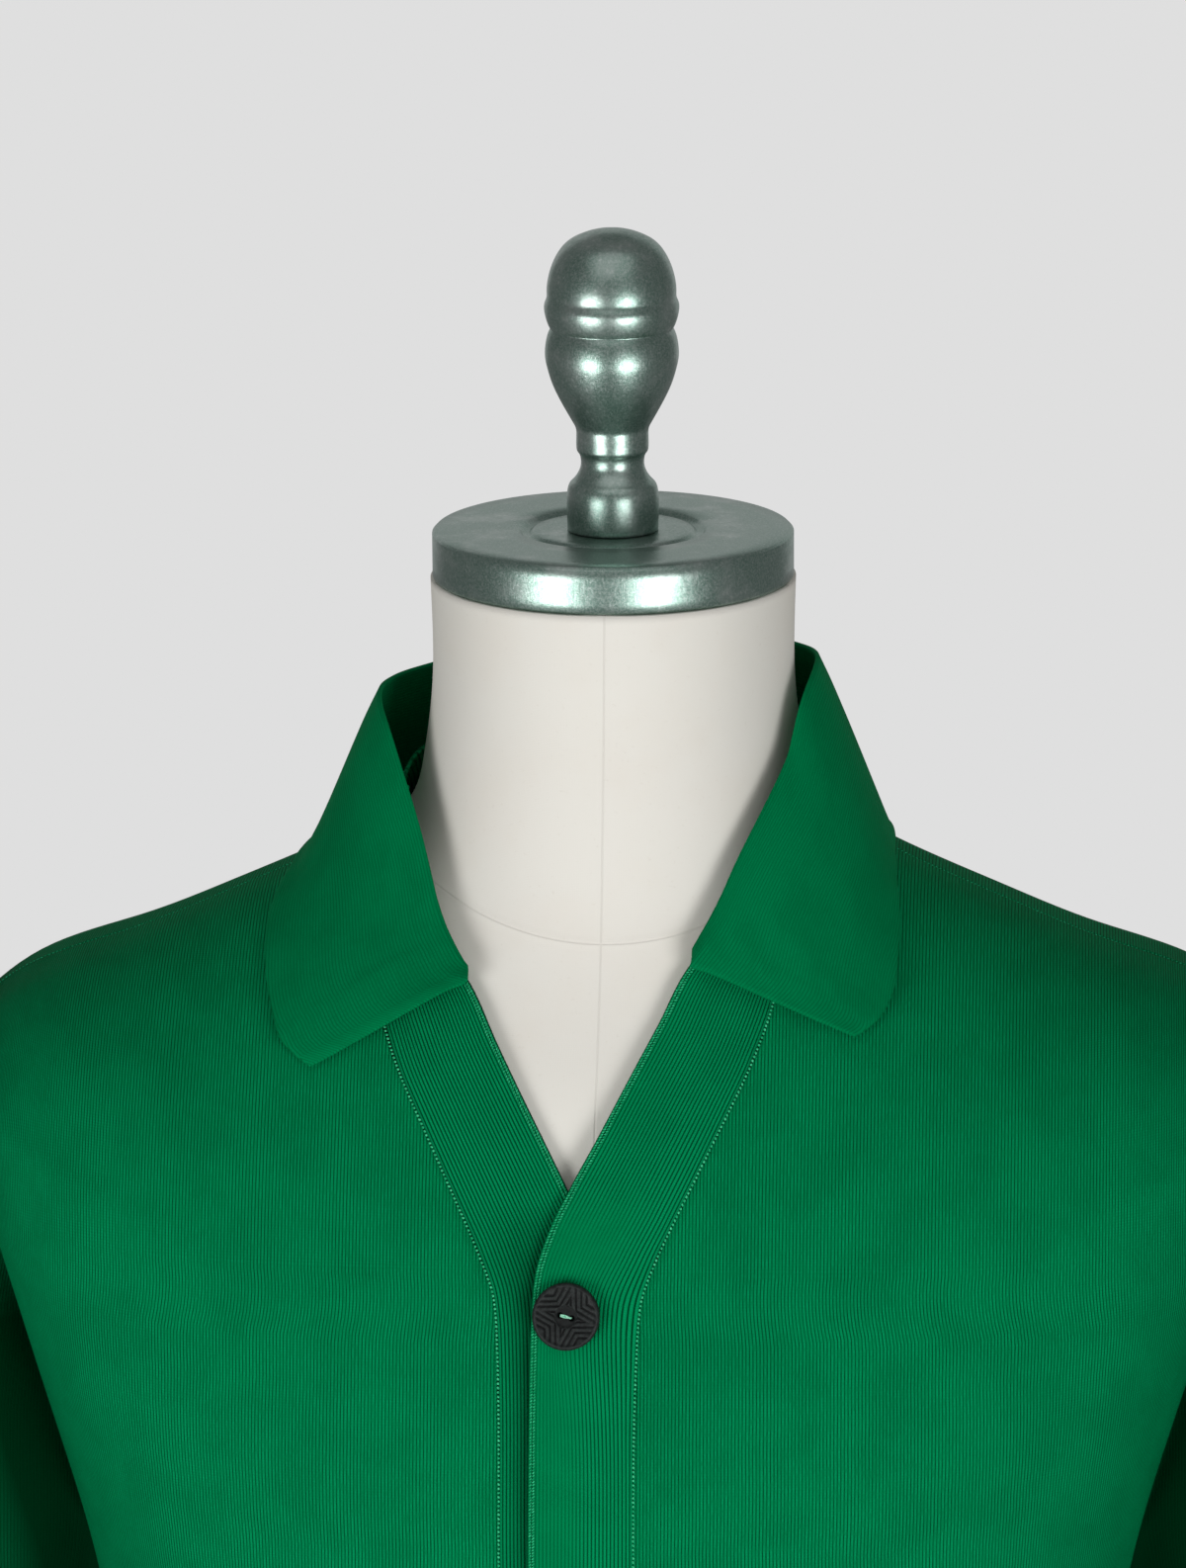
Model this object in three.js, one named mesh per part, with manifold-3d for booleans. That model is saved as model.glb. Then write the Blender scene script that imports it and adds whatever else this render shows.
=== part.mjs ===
// A fine-gauge knit polo cardigan buttoned on a table-top dress form.
// Millimetres, +Z up, the front faces -Y, origin under the middle of the base.
// Left and right are the wearer's: the left front lies on the +X side and buttons over the right.
//
// Every body ring is read by two numbers: run, the length up the body from its lowest ring, and
// turn, the angle round the body from the front middle (0) past the wearer's left side (90 degrees).
import * as THREE from 'three';
import { mergeVertices } from 'three/addons/utils/BufferGeometryUtils.js';
import Module from 'manifold-3d';

const manifold = await Module();
manifold.setup();

// Walls and gaps
const clothWall = 1.4;
const bandWall = 2.0;
const collarWall = 1.8;
const ribDepth = 0.35;
const seamGap = 0.3;
const bandRise = 2.4; // lift of the left band where it passes over the right one

// Front opening
const middleX = -9.4; // the button line lies this far from the form's own middle
const bandWidth = 34.5;
const bandOverlap = 25;
const bandRibs = 28;
const neckPointZ = 785.6; // where the two free edges cross
const freeEdgeLean = 0.57; // sideways for each mm up
const seamBendZ = 753;
const seamLean = 0.535;
const seamReach = 68; // furthest that a band seam stands from the button line
const edgeRounding = 6;
const reachRounding = 2;

// Buttons
const buttonCount = 5;
const buttonTopZ = 746;
const buttonPitch = 115;
const buttonRadius = 11.5;
const buttonThick = 3.6;
const buttonHoleLength = 20;
const buttonHoleWidth = 3.9;
const buttonSeat = 5; // underside of a button above the inside of the cloth
const threadRadius = 1.4;
const threadHoleRadius = 0.8;
const threadHolePitch = 4;

// Rows up the body, from the hem to the underarm, the shoulder point and the neck seam
const hemRows = 5;
const armholeRows = 6;
const yokeRows = 6;
const underarmRing = 4; // rows of bodyRings that the armhole runs between
const shoulderRing = 6;
const armholeBite = 16; // degrees that each armhole cuts into a panel
const backBite = 13;
const frontColumns = 12;
const backColumns = 22;

// Stand
const baseRadius = 165;
const baseThick = 12;
const poleRadius = 14;
const poleFlange = 22; // wider than the pole, where it carries the form
const poleCollar = 10; // wider than the pole, where it stands on the base
const capRadius = 61.3;
const capThick = 16;
const capDish = 0.4; // depth of the cap's middle, where the finial stands
const finialHeight = 102.8;

// Rings of the dress form, from its bottom to the top of its neck. A ring climbs from its front
// and back points to its side points; square is the power of its rounded-box outline.
const formRings = [
  { sideX: 163, sideY: 2, sideZ: 185, frontY: -104, frontZ: 185, backY: 108, backZ: 185, square: 2.3 },
  { sideX: 168, sideY: 2, sideZ: 260, frontY: -111, frontZ: 260, backY: 116, backZ: 260, square: 2.3 },
  { sideX: 152, sideY: 0, sideZ: 470, frontY: -103, frontZ: 470, backY: 94, backZ: 470, square: 2.2 },
  { sideX: 168, sideY: 0, sideZ: 635, frontY: -126, frontZ: 635, backY: 112, backZ: 635, square: 2.5 },
  { sideX: 188, sideY: 4, sideZ: 735, frontY: -126, frontZ: 697, backY: 118, backZ: 720, square: 2.7 },
  { sideX: 205, sideY: 6, sideZ: 818, frontY: -113, frontZ: 756, backY: 112, backZ: 760, square: 2.6 },
  { sideX: 141, sideY: 4, sideZ: 849.5, frontY: -94, frontZ: 810.5, backY: 95, backZ: 824.5, square: 2.3 },
  { sideX: 74, sideY: 2, sideZ: 886, frontY: -70, frontZ: 862, backY: 68, backZ: 884, square: 2.05 },
  { sideX: 62, sideY: 0, sideZ: 930, frontY: -62, frontZ: 924, backY: 62, backZ: 931, square: 2 },
  { sideX: 62, sideY: 0, sideZ: 970, frontY: -62, frontZ: 970, backY: 62, backZ: 970, square: 2 },
];

// Rings of the inside of the cardigan, from the hem, past the underarm (row 4) and the shoulder
// point (row 6), to the neck, where the collar's stand follows the last two rows.
const bodyRings = [
  { sideX: 172, sideY: 2, sideZ: 215, frontY: -119, frontZ: 215, backY: 124, backZ: 215, square: 2.3 },
  { sideX: 176, sideY: 2, sideZ: 268, frontY: -124, frontZ: 268, backY: 129, backZ: 268, square: 2.3 },
  { sideX: 180, sideY: 2, sideZ: 330, frontY: -127.5, frontZ: 330, backY: 132, backZ: 330, square: 2.3 },
  { sideX: 177, sideY: 2, sideZ: 460, frontY: -130, frontZ: 460, backY: 127, backZ: 460, square: 2.3 },
  { sideX: 174, sideY: 2, sideZ: 592, frontY: -136, frontZ: 596, backY: 124, backZ: 592, square: 2.5 },
  { sideX: 207, sideY: 6, sideZ: 730, frontY: -135, frontZ: 690, backY: 130, backZ: 708, square: 2.8 },
  { sideX: 226, sideY: 7, sideZ: 809, frontY: -118, frontZ: 757, backY: 119, backZ: 762, square: 2.6 },
  { sideX: 142, sideY: 4, sideZ: 851.5, frontY: -96, frontZ: 811, backY: 97, backZ: 826, square: 2.3 },
  { sideX: 77, sideY: 2, sideZ: 888, frontY: -73.5, frontZ: 863, backY: 71.5, backZ: 887, square: 2.05 },
  { sideX: 64.5, sideY: 0, sideZ: 932, frontY: -64.5, frontZ: 925, backY: 65, backZ: 933, square: 2 },
  { sideX: 64.5, sideY: 0, sideZ: 972, frontY: -64.5, frontZ: 972, backY: 64.5, backZ: 972, square: 2 },
];

// Soft folds of the body: turn in degrees on each side, the heights they fade between, how far
// they stand out and how wide they are, all in millimetres along the cloth.
const bodyFolds = [
  { turn: 44, low: 40, high: 330, height: 3.5, width: 26 },
  { turn: 68, low: 0, high: 250, height: 4.5, width: 22 },
  { turn: 113, low: 20, high: 300, height: 4, width: 26 },
  { turn: 148, low: 60, high: 380, height: 3.5, width: 30 },
  { turn: -38, low: 90, high: 390, height: 3, width: 28 },
  { turn: -63, low: 10, high: 280, height: 4.5, width: 24 },
  { turn: -109, low: 0, high: 260, height: 4.5, width: 24 },
  { turn: -140, low: 30, high: 340, height: 3.5, width: 28 },
];

// Sections of the left sleeve, from just past the armhole seam to the cuff: the outermost and
// innermost points, the front and back depth, and seam, how much of the armhole's shape is left.
const sleeveSections = [
  { outX: 239, outZ: 802, inX: 180, inZ: 606, frontY: -54, backY: 66, seam: 0.75 },
  { outX: 251, outZ: 787, inX: 185, inZ: 599, frontY: -55, backY: 73, seam: 0.45 },
  { outX: 260, outZ: 766, inX: 188, inZ: 585, frontY: -55, backY: 78, seam: 0.2 },
  { outX: 265, outZ: 731, inX: 189, inZ: 561, frontY: -55, backY: 80, seam: 0.05 },
  { outX: 268, outZ: 684, inX: 189, inZ: 526, frontY: -55, backY: 80, seam: 0 },
  { outX: 268, outZ: 625, inX: 189, inZ: 480, frontY: -55, backY: 79, seam: 0 },
  { outX: 266, outZ: 556, inX: 189, inZ: 430, frontY: -54, backY: 77, seam: 0 },
  { outX: 263, outZ: 478, inX: 190, inZ: 376, frontY: -52, backY: 73, seam: 0 },
  { outX: 258, outZ: 398, inX: 190, inZ: 322, frontY: -48, backY: 68, seam: 0 },
  { outX: 252, outZ: 322, inX: 190, inZ: 272, frontY: -43, backY: 61, seam: 0 },
  { outX: 245, outZ: 262, inX: 190, inZ: 238, frontY: -36, backY: 54, seam: 0 },
  { outX: 238, outZ: 215, inX: 192, inZ: 215, frontY: -32, backY: 50, seam: 0 },
];
const sleeveSquare = 2.2;
const armholeSection = { outX: 226, outZ: 809, inX: 175, inZ: 592, frontY: -52, backY: 60 };

// Soft folds across each sleeve: how far down it, which way round (degrees from the outside, past
// the front), how far each stands out, and its half width down and round the sleeve.
const sleeveFolds = [
  { down: 0.16, round: 60, height: 5, long: 0.05, wide: 50 },
  { down: 0.24, round: 300, height: 4, long: 0.05, wide: 60 },
  { down: 0.45, round: 120, height: -4, long: 0.035, wide: 70 },
  { down: 0.52, round: 215, height: 4, long: 0.04, wide: 60 },
  { down: 0.6, round: 80, height: 4, long: 0.035, wide: 60 },
  { down: 0.78, round: 250, height: -3.5, long: 0.03, wide: 60 },
  { down: 0.88, round: 95, height: 4, long: 0.03, wide: 80 },
];

// Stations round the collar from the right notch, round the back, to the left notch. round is
// degrees from the front middle past the wearer's right side, seam is the run of the neck seam,
// and rollRound, rollRun and rollGap place the fold's edge, rollGap off the body.
const standStations = [
  { round: 26.2, seam: 695, rollRound: 28, rollRun: 697, rollGap: 0 },
  { round: 33, seam: 700, rollRound: 31.5, rollRun: 702.8, rollGap: 0.4 },
  { round: 42, seam: 707, rollRound: 40.5, rollRun: 714, rollGap: 1.3 },
  { round: 52, seam: 716, rollRound: 51, rollRun: 730, rollGap: 3 },
  { round: 62, seam: 724, rollRound: 61.5, rollRun: 745.3, rollGap: 5.8 },
  { round: 75, seam: 731, rollRound: 73, rollRun: 759.5, rollGap: 8.6 },
  { round: 90, seam: 736, rollRound: 90, rollRun: 765.5, rollGap: 10 },
  { round: 120, seam: 740, rollRound: 120, rollRun: 764.5, rollGap: 8 },
  { round: 150, seam: 740, rollRound: 150, rollRun: 765, rollGap: 5.5 },
  { round: 180, seam: 740, rollRound: 180, rollRun: 768, rollGap: 4 },
  { round: 210, seam: 740, rollRound: 210, rollRun: 771.5, rollGap: 3 },
  { round: 240, seam: 740, rollRound: 240, rollRun: 775, rollGap: 1.5 },
  { round: 270, seam: 740, rollRound: 269, rollRun: 778.5, rollGap: 0.2 },
  { round: 286, seam: 737, rollRound: 286, rollRun: 774, rollGap: 0.2 },
  { round: 298, seam: 732, rollRound: 295, rollRun: 766, rollGap: 0.5 },
  { round: 308, seam: 727, rollRound: 301.7, rollRun: 755.5, rollGap: 0.6 },
  { round: 318, seam: 721, rollRound: 310, rollRun: 747, rollGap: 0.2 },
  { round: 329, seam: 714, rollRound: 323.4, rollRun: 733, rollGap: 0 },
  { round: 340.5, seam: 707.5, rollRound: 339, rollRun: 709.5, rollGap: 0 },
];

// The leaf at the same stations: the angle the fold turns through, how closely the leaf's lower
// half follows the body (0 to 1), and the place of its free edge.
const leafStations = [
  { opening: 158, hug: 1, edgeRound: 35.5, edgeRun: 642 },
  { opening: 158, hug: 1, edgeRound: 41.8, edgeRun: 644.6 },
  { opening: 158, hug: 1, edgeRound: 49, edgeRun: 653 },
  { opening: 150, hug: 1, edgeRound: 58.5, edgeRun: 663 },
  { opening: 138.5, hug: 0.85, edgeRound: 67.5, edgeRun: 671 },
  { opening: 137, hug: 0.55, edgeRound: 76, edgeRun: 678.5 },
  { opening: 134, hug: 0.3, edgeRound: 88, edgeRun: 686 },
  { opening: 138, hug: 0.4, edgeRound: 120, edgeRun: 692 },
  { opening: 144, hug: 0.5, edgeRound: 150, edgeRun: 691 },
  { opening: 148, hug: 0.5, edgeRound: 180, edgeRun: 689 },
  { opening: 150, hug: 0.4, edgeRound: 210, edgeRun: 693 },
  { opening: 156, hug: 0.3, edgeRound: 240, edgeRun: 698 },
  { opening: 160, hug: 0, edgeRound: 271, edgeRun: 699 },
  { opening: 157, hug: 0, edgeRound: 286, edgeRun: 694 },
  { opening: 152, hug: 0.2, edgeRound: 296, edgeRun: 685.5 },
  { opening: 150, hug: 0.6, edgeRound: 305.8, edgeRun: 675.5 },
  { opening: 151, hug: 1, edgeRound: 313, edgeRun: 666.8 },
  { opening: 156, hug: 1, edgeRound: 319, edgeRun: 661 },
  { opening: 158, hug: 1, edgeRound: 324.4, edgeRun: 659 },
];
const collarStations = standStations.map((station, i) => ({ ...station, ...leafStations[i] }));
const stationsBetween = 2;
const collarFoldRadius = 2.1;
const leafRest = 4.2; // middle of the leaf's wall above the inside of the body
const standPoints = 3;
const foldPoints = 4;
const leafPoints = 7;

// Turned outline of the finial: radius, and height above the neck cap.
const finialProfile = [
  { radius: 15.4, height: 0 },
  { radius: 15.4, height: 13 },
  { radius: 13.4, height: 17 },
  { radius: 11.4, height: 20 },
  { radius: 10.7, height: 23 },
  { radius: 11.2, height: 26 },
  { radius: 12.2, height: 28 },
  { radius: 12.2, height: 33.5 },
  { radius: 13.4, height: 37 },
  { radius: 17, height: 43.5 },
  { radius: 20.1, height: 50 },
  { radius: 21.8, height: 55.5 },
  { radius: 22.6, height: 60.5 },
  { radius: 21.9, height: 66 },
  { radius: 20.7, height: 69 },
  { radius: 21.9, height: 71.7 },
  { radius: 22.8, height: 76.5 },
  { radius: 21.9, height: 79.5 },
  { radius: 21.8, height: 83 },
  { radius: 20.6, height: 89 },
  { radius: 17.8, height: 95 },
  { radius: 13.2, height: 99.5 },
  { radius: 7, height: 102 },
];

const degrees = THREE.MathUtils.degToRad;
const smooth = THREE.MathUtils.smoothstep;
const signedPower = (value, power) => Math.sign(value) * Math.abs(value) ** power;
const softMax = (a, b, rounding) => (a + b + Math.hypot(a - b, rounding)) / 2;
const softMin = (a, b, rounding) => (a + b - Math.hypot(a - b, rounding)) / 2;
const step = (from, away, distance) => from.clone().addScaledVector(away, distance);
const range = (count) => Array.from({ length: count }, (_, i) => i);

function angleBetween(a, b) {
  const round = 2 * Math.PI;
  return Math.abs(THREE.MathUtils.euclideanModulo(a - b + Math.PI, round) - Math.PI);
}

// A smooth curve through values that stand at increasing places.
function curveThrough(places, values) {
  const last = places.length - 1;
  const rise = (i) => (values[i + 1] - values[i]) / (places[i + 1] - places[i]);
  const slopes = values.map((_, i) => {
    if (i === 0 || i === last) return rise(Math.min(i, last - 1));
    const before = places[i] - places[i - 1];
    const after = places[i + 1] - places[i];
    return (rise(i - 1) * after + rise(i) * before) / (before + after);
  });
  return (place) => {
    let i = 0;
    while (i < last - 1 && place > places[i + 1]) i += 1;
    const gap = places[i + 1] - places[i];
    const u = (place - places[i]) / gap;
    const keepStart = 2 * u ** 3 - 3 * u ** 2 + 1;
    const leaveStart = (u ** 3 - 2 * u ** 2 + u) * gap;
    const meetEnd = (u ** 3 - u ** 2) * gap;
    return keepStart * values[i] + leaveStart * slopes[i]
      + (1 - keepStart) * values[i + 1] + meetEnd * slopes[i + 1];
  };
}

function curvesThrough(places, rows) {
  const curve = (column) => curveThrough(places, rows.map((row) => row[column]));
  return Object.fromEntries(Object.keys(rows[0]).map((column) => [column, curve(column)]));
}

// The smooth surface through a table of body rings.
function ringSurface(rings, foldHeight = () => 0) {
  const runs = [0];
  for (let i = 1; i < rings.length; i += 1) {
    const [low, high] = [rings[i - 1], rings[i]];
    const side = Math.hypot(high.sideX - low.sideX, high.sideZ - low.sideZ);
    const front = Math.hypot(high.frontY - low.frontY, high.frontZ - low.frontZ);
    const back = Math.hypot(high.backY - low.backY, high.backZ - low.backZ);
    runs.push(runs[i - 1] + (2 * side + front + back) / 4);
  }
  const at = curvesThrough(runs, rings);
  const bare = (run, turn) => {
    const [across, along] = [Math.sin(turn), Math.cos(turn)];
    const power = 2 / at.square(run);
    const endY = along > 0 ? at.frontY(run) : at.backY(run);
    const endZ = along > 0 ? at.frontZ(run) : at.backZ(run);
    return new THREE.Vector3(
      at.sideX(run) * signedPower(across, power),
      at.sideY(run) + (endY - at.sideY(run)) * Math.abs(along) ** power,
      at.sideZ(run) + (endZ - at.sideZ(run)) * along ** 2,
    );
  };
  const facing = (place, run, turn) => {
    const up = place(run + 0.5, turn).sub(place(run - 0.5, turn));
    const round = place(run, turn + 0.01).sub(place(run, turn - 0.01));
    return round.cross(up).normalize();
  };
  const point = (run, turn) => step(bare(run, turn), facing(bare, run, turn), foldHeight(run, turn, bare));
  const normal = (run, turn) => facing(point, run, turn);
  const raised = (run, turn, height) => step(point(run, turn), normal(run, turn), height);
  // the turn that lies a distance further round, measured on the surface
  const shifted = (run, turn, distance) => {
    const slice = 0.01;
    return turn + (distance * slice) / point(run, turn + slice).distanceTo(point(run, turn));
  };
  return { runs, bare, point, normal, raised, shifted };
}

function foldHeight(run, turn, bare) {
  const halfWidth = bare(run, degrees(90)).x;
  let height = 0;
  for (const fold of bodyFolds) {
    const reach = (angleBetween(turn, degrees(fold.turn)) * halfWidth) / fold.width;
    const starts = smooth(run, fold.low - 60, fold.low + 60);
    const ends = smooth(run, fold.high - 70, fold.high + 30);
    height += fold.height * starts * (1 - ends) * Math.exp(-(reach ** 2));
  }
  return height;
}

const form = ringSurface(formRings);
const body = ringSurface(bodyRings, foldHeight);

function geometryOf(positions, index) {
  const geometry = new THREE.BufferGeometry();
  geometry.setAttribute('position', new THREE.Float32BufferAttribute(positions, 3));
  geometry.setIndex(index);
  geometry.computeVertexNormals();
  return geometry;
}

// Closed wall between two grids of points with the same number of rows. Each grid row runs the same
// way; outer faces out. Across, the two grids may have different numbers of points.
function wallBetween(outer, inner, closedRound = false) {
  const positions = [];
  const index = [];
  const add = (grid) => grid.map((row) => row.map((p) => positions.push(p.x, p.y, p.z) / 3 - 1));
  const outside = add(outer);
  const inside = add(inner);
  const face = (a, b, c, flip) => index.push(a, flip ? c : b, flip ? b : c);
  const rows = outer.length;
  const sheet = (grid, flip) => {
    const count = grid[0].length;
    for (let i = 0; i < rows - 1; i += 1) {
      for (let j = 0; j < (closedRound ? count : count - 1); j += 1) {
        const next = (j + 1) % count;
        face(grid[i][j], grid[i][next], grid[i + 1][next], flip);
        face(grid[i][j], grid[i + 1][next], grid[i + 1][j], flip);
      }
    }
  };
  sheet(outside, false);
  sheet(inside, true);
  // rim along the first or last row, walking both lines of points together
  const rim = (a, b, flip) => {
    const lineA = closedRound ? [...a, a[0]] : a;
    const lineB = closedRound ? [...b, b[0]] : b;
    let [i, j] = [0, 0];
    while (i < lineA.length - 1 || j < lineB.length - 1) {
      const stepA = (i + 1) / (lineA.length - 1) <= (j + 1) / (lineB.length - 1);
      if (j === lineB.length - 1 || (i < lineA.length - 1 && stepA)) {
        face(lineA[i], lineB[j], lineA[i + 1], flip);
        i += 1;
      } else {
        face(lineA[i], lineB[j], lineB[j + 1], flip);
        j += 1;
      }
    }
  };
  rim(outside[0], inside[0], false);
  rim(outside[rows - 1], inside[rows - 1], true);
  if (!closedRound) {
    for (let i = 0; i < rows - 1; i += 1) {
      for (const [column, flip] of [[0, true], [-1, false]]) {
        const [lowOut, highOut] = [outside[i].at(column), outside[i + 1].at(column)];
        const [lowIn, highIn] = [inside[i].at(column), inside[i + 1].at(column)];
        face(lowOut, highOut, lowIn, !flip);
        face(highOut, highIn, lowIn, !flip);
      }
    }
  }
  return geometryOf(positions, index);
}

// Wall of a given thickness on both sides of a grid of middle points.
function wallAround(middle, thickness, closedRound, firstNormals) {
  const rows = middle.length;
  const count = middle[0].length;
  const normals = middle.map((row, i) => row.map((_, j) => {
    if (i === 0 && firstNormals) return firstNormals[j];
    const up = middle[Math.min(i + 1, rows - 1)][j].clone().sub(middle[Math.max(i - 1, 0)][j]);
    const next = closedRound ? (j + 1) % count : Math.min(j + 1, count - 1);
    const before = closedRound ? (j + count - 1) % count : Math.max(j - 1, 0);
    return row[next].clone().sub(row[before]).cross(up).normalize();
  }));
  const side = (away) => middle.map((row, i) => row.map((p, j) => step(p, normals[i][j], away)));
  return wallBetween(side(thickness / 2), side(-thickness / 2), closedRound);
}

function mirrored(geometry) {
  const flipped = geometry.clone().applyMatrix4(new THREE.Matrix4().makeScale(-1, 1, 1));
  const order = flipped.index.array;
  for (let i = 0; i < order.length; i += 3) [order[i], order[i + 1]] = [order[i + 1], order[i]];
  flipped.computeVertexNormals();
  return flipped;
}

// The same faces with shared corners merged and the empty faces at a lathe's poles left out.
function merged(geometry) {
  const bare = new THREE.BufferGeometry();
  bare.setAttribute('position', geometry.getAttribute('position'));
  bare.setIndex(geometry.index);
  const joined = mergeVertices(bare, 1e-4);
  const order = [...joined.index.array];
  const faces = range(order.length / 3).map((i) => order.slice(3 * i, 3 * i + 3));
  joined.setIndex(faces.filter(([a, b, c]) => a !== b && b !== c && c !== a).flat());
  joined.computeVertexNormals();
  return joined;
}

function asManifold(geometry) {
  const joined = merged(geometry);
  return new manifold.Manifold(new manifold.Mesh({
    numProp: 3,
    vertProperties: new Float32Array(joined.getAttribute('position').array),
    triVerts: new Uint32Array(joined.index.array),
  }));
}

function fromManifold(solid) {
  const mesh = solid.getMesh();
  return geometryOf(mesh.vertProperties, [...mesh.triVerts]);
}

function cutFrom(geometry, cutters) {
  let solid = asManifold(geometry);
  for (const cutter of cutters) solid = solid.subtract(asManifold(cutter));
  return fromManifold(solid);
}

// Neck seam, as a run for each turn.
const rounds = collarStations.map((station) => station.round);
const seamCurve = curveThrough(rounds, collarStations.map((station) => station.seam));
function neckRun(turn) {
  const round = THREE.MathUtils.radToDeg(-turn);
  return seamCurve(THREE.MathUtils.clamp(round < 0 ? round + 360 : round, rounds[0], rounds.at(-1)));
}

// Rows stand closer together at the underarm and at the shoulder point.
const armholeClimb = (i) => (1 - Math.cos((Math.PI * i) / armholeRows)) / 2;

// Rows of every panel: a run for each turn, so that all the panels share their seams.
const underarmRun = body.runs[underarmRing];
const shoulderRun = body.runs[shoulderRing];
const panelRows = [
  ...range(hemRows).map((i) => () => (underarmRun * i) / hemRows),
  ...range(armholeRows).map((i) => () => {
    return THREE.MathUtils.lerp(underarmRun, shoulderRun, armholeClimb(i));
  }),
  ...range(yokeRows + 1).map((i) => (turn) => {
    return shoulderRun + ((neckRun(turn) - shoulderRun - seamGap / 2) * i) / yokeRows;
  }),
];

// How far the armhole has cut into a panel on a row, in degrees.
function armholeCut(row, bite) {
  const i = row - hemRows;
  if (i <= 0 || i >= armholeRows) return 0;
  return bite * Math.sin(Math.PI * armholeClimb(i) ** 0.55) ** 0.5;
}

// Band edges, as distances from the button line at a height.
const freeEdge = (z) => softMax(-bandOverlap / 2, (z - neckPointZ) * freeEdgeLean, edgeRounding);
function bandSeam(z) {
  const straight = bandWidth - bandOverlap / 2;
  const leaning = softMax(straight, straight + (z - seamBendZ) * seamLean, edgeRounding);
  return softMin(leaning, seamReach, reachRounding);
}

// The turn at which a row meets a front edge; side is 1 on the left front and -1 on the right.
function turnAtEdge(runAt, edge, side) {
  let [low, high] = [degrees(-75), degrees(75)];
  for (let i = 0; i < 40; i += 1) {
    const turn = (low + high) / 2;
    const place = body.bare(runAt(turn), turn);
    if (place.x < middleX + side * edge(place.z)) low = turn;
    else high = turn;
  }
  return low;
}

// Half the seam gap as a distance along each row, so that it stays the same square to the seam.
function halfGaps(turns) {
  const places = panelRows.map((runAt, row) => body.point(runAt(turns[row]), turns[row]));
  return panelRows.map((runAt, row) => {
    const seam = places[Math.min(row + 1, places.length - 1)].clone().sub(places[Math.max(row - 1, 0)]);
    const across = body.point(runAt(turns[row] + 0.01), turns[row] + 0.01).sub(places[row]);
    const sine = seam.normalize().cross(across.normalize()).length();
    return seamGap / 2 / Math.max(sine, 0.3);
  });
}

// A panel between two turns on every row, as outer and inner grids.
function panelGrid(turnsIn, turnsOut, columns, height) {
  const [gapsIn, gapsOut] = [halfGaps(turnsIn), halfGaps(turnsOut)];
  return panelRows.map((runAt, row) => range(columns + 1).map((column) => {
    const start = body.shifted(runAt(turnsIn[row]), turnsIn[row], gapsIn[row]);
    const end = body.shifted(runAt(turnsOut[row]), turnsOut[row], -gapsOut[row]);
    const turn = start + ((end - start) * column) / columns;
    return body.raised(runAt(turn), turn, height(column / columns, runAt(turn), turn));
  }));
}

function panel(turnsIn, turnsOut, columns) {
  const outer = panelGrid(turnsIn, turnsOut, columns, () => clothWall);
  const inner = panelGrid(turnsIn, turnsOut, columns, () => 0);
  return wallBetween(outer, inner);
}

const edgeTurns = (edge, side) => panelRows.map((runAt) => turnAtEdge(runAt, edge, side));
const seamTurns = { left: edgeTurns(bandSeam, 1), right: edgeTurns(bandSeam, -1) };
const freeTurns = { left: edgeTurns(freeEdge, 1), right: edgeTurns(freeEdge, -1) };
const frontArmhole = panelRows.map((_, row) => degrees(90 - armholeCut(row, armholeBite)));
const backArmhole = panelRows.map((_, row) => degrees(90 + armholeCut(row, backBite)));

// How far the left band is raised: from nothing at its seam to its full rise before the edge of
// the right band, and nothing again above the point where the two bands part.
function bandLift(run, turn) {
  const place = body.bare(run, turn);
  const fromSeam = middleX + bandSeam(place.z) - place.x;
  const ramp = smooth(fromSeam, seamGap, bandWidth - bandOverlap - 0.7);
  const parted = smooth(place.z, neckPointZ + 4, neckPointZ + 44);
  return bandRise * ramp * (1 - parted);
}

// Ribs stand on the outer face; the inner face is plain.
function band(turnsIn, turnsOut, lift) {
  const ribColumns = bandRibs * 2;
  const innerColumns = 6;
  const ribbed = (across) => (Math.round(across * ribColumns) % 2 === 0 ? bandWall - ribDepth : bandWall);
  const outerHeight = (across, run, turn) => ribbed(across) + lift(run, turn);
  const innerHeight = (across, run, turn) => lift(run, turn);
  const outer = panelGrid(turnsIn, turnsOut, ribColumns, outerHeight);
  const inner = panelGrid(turnsIn, turnsOut, innerColumns, innerHeight);
  return wallBetween(outer, inner);
}

// Frame of a button: its place on the button line, the way out and the way up.
function buttonFrame(z, height) {
  let [low, high] = [0, shoulderRun];
  const turnAt = (run) => turnAtEdge(() => run, () => 0, 1);
  for (let i = 0; i < 30; i += 1) {
    const run = (low + high) / 2;
    if (body.bare(run, turnAt(run)).z < z) low = run;
    else high = run;
  }
  const turn = turnAt(low);
  const out = body.normal(low, turn);
  const side = new THREE.Vector3(0, 0, 1).cross(out).normalize();
  const up = out.clone().cross(side);
  return new THREE.Matrix4().makeBasis(side, up, out).setPosition(body.raised(low, turn, height));
}

const buttonHeights = range(buttonCount).map((i) => buttonTopZ - i * buttonPitch);

function buttonHoleCutter(z) {
  const half = buttonHoleLength / 2;
  const bow = buttonHoleWidth;
  const slit = new THREE.Shape();
  slit.moveTo(0, -half);
  slit.quadraticCurveTo(bow, 0, 0, half);
  slit.quadraticCurveTo(-bow, 0, 0, -half);
  const cutter = new THREE.ExtrudeGeometry(slit, { depth: 12, bevelEnabled: false, curveSegments: 6 });
  return merged(cutter).applyMatrix4(buttonFrame(z, -4));
}

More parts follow.
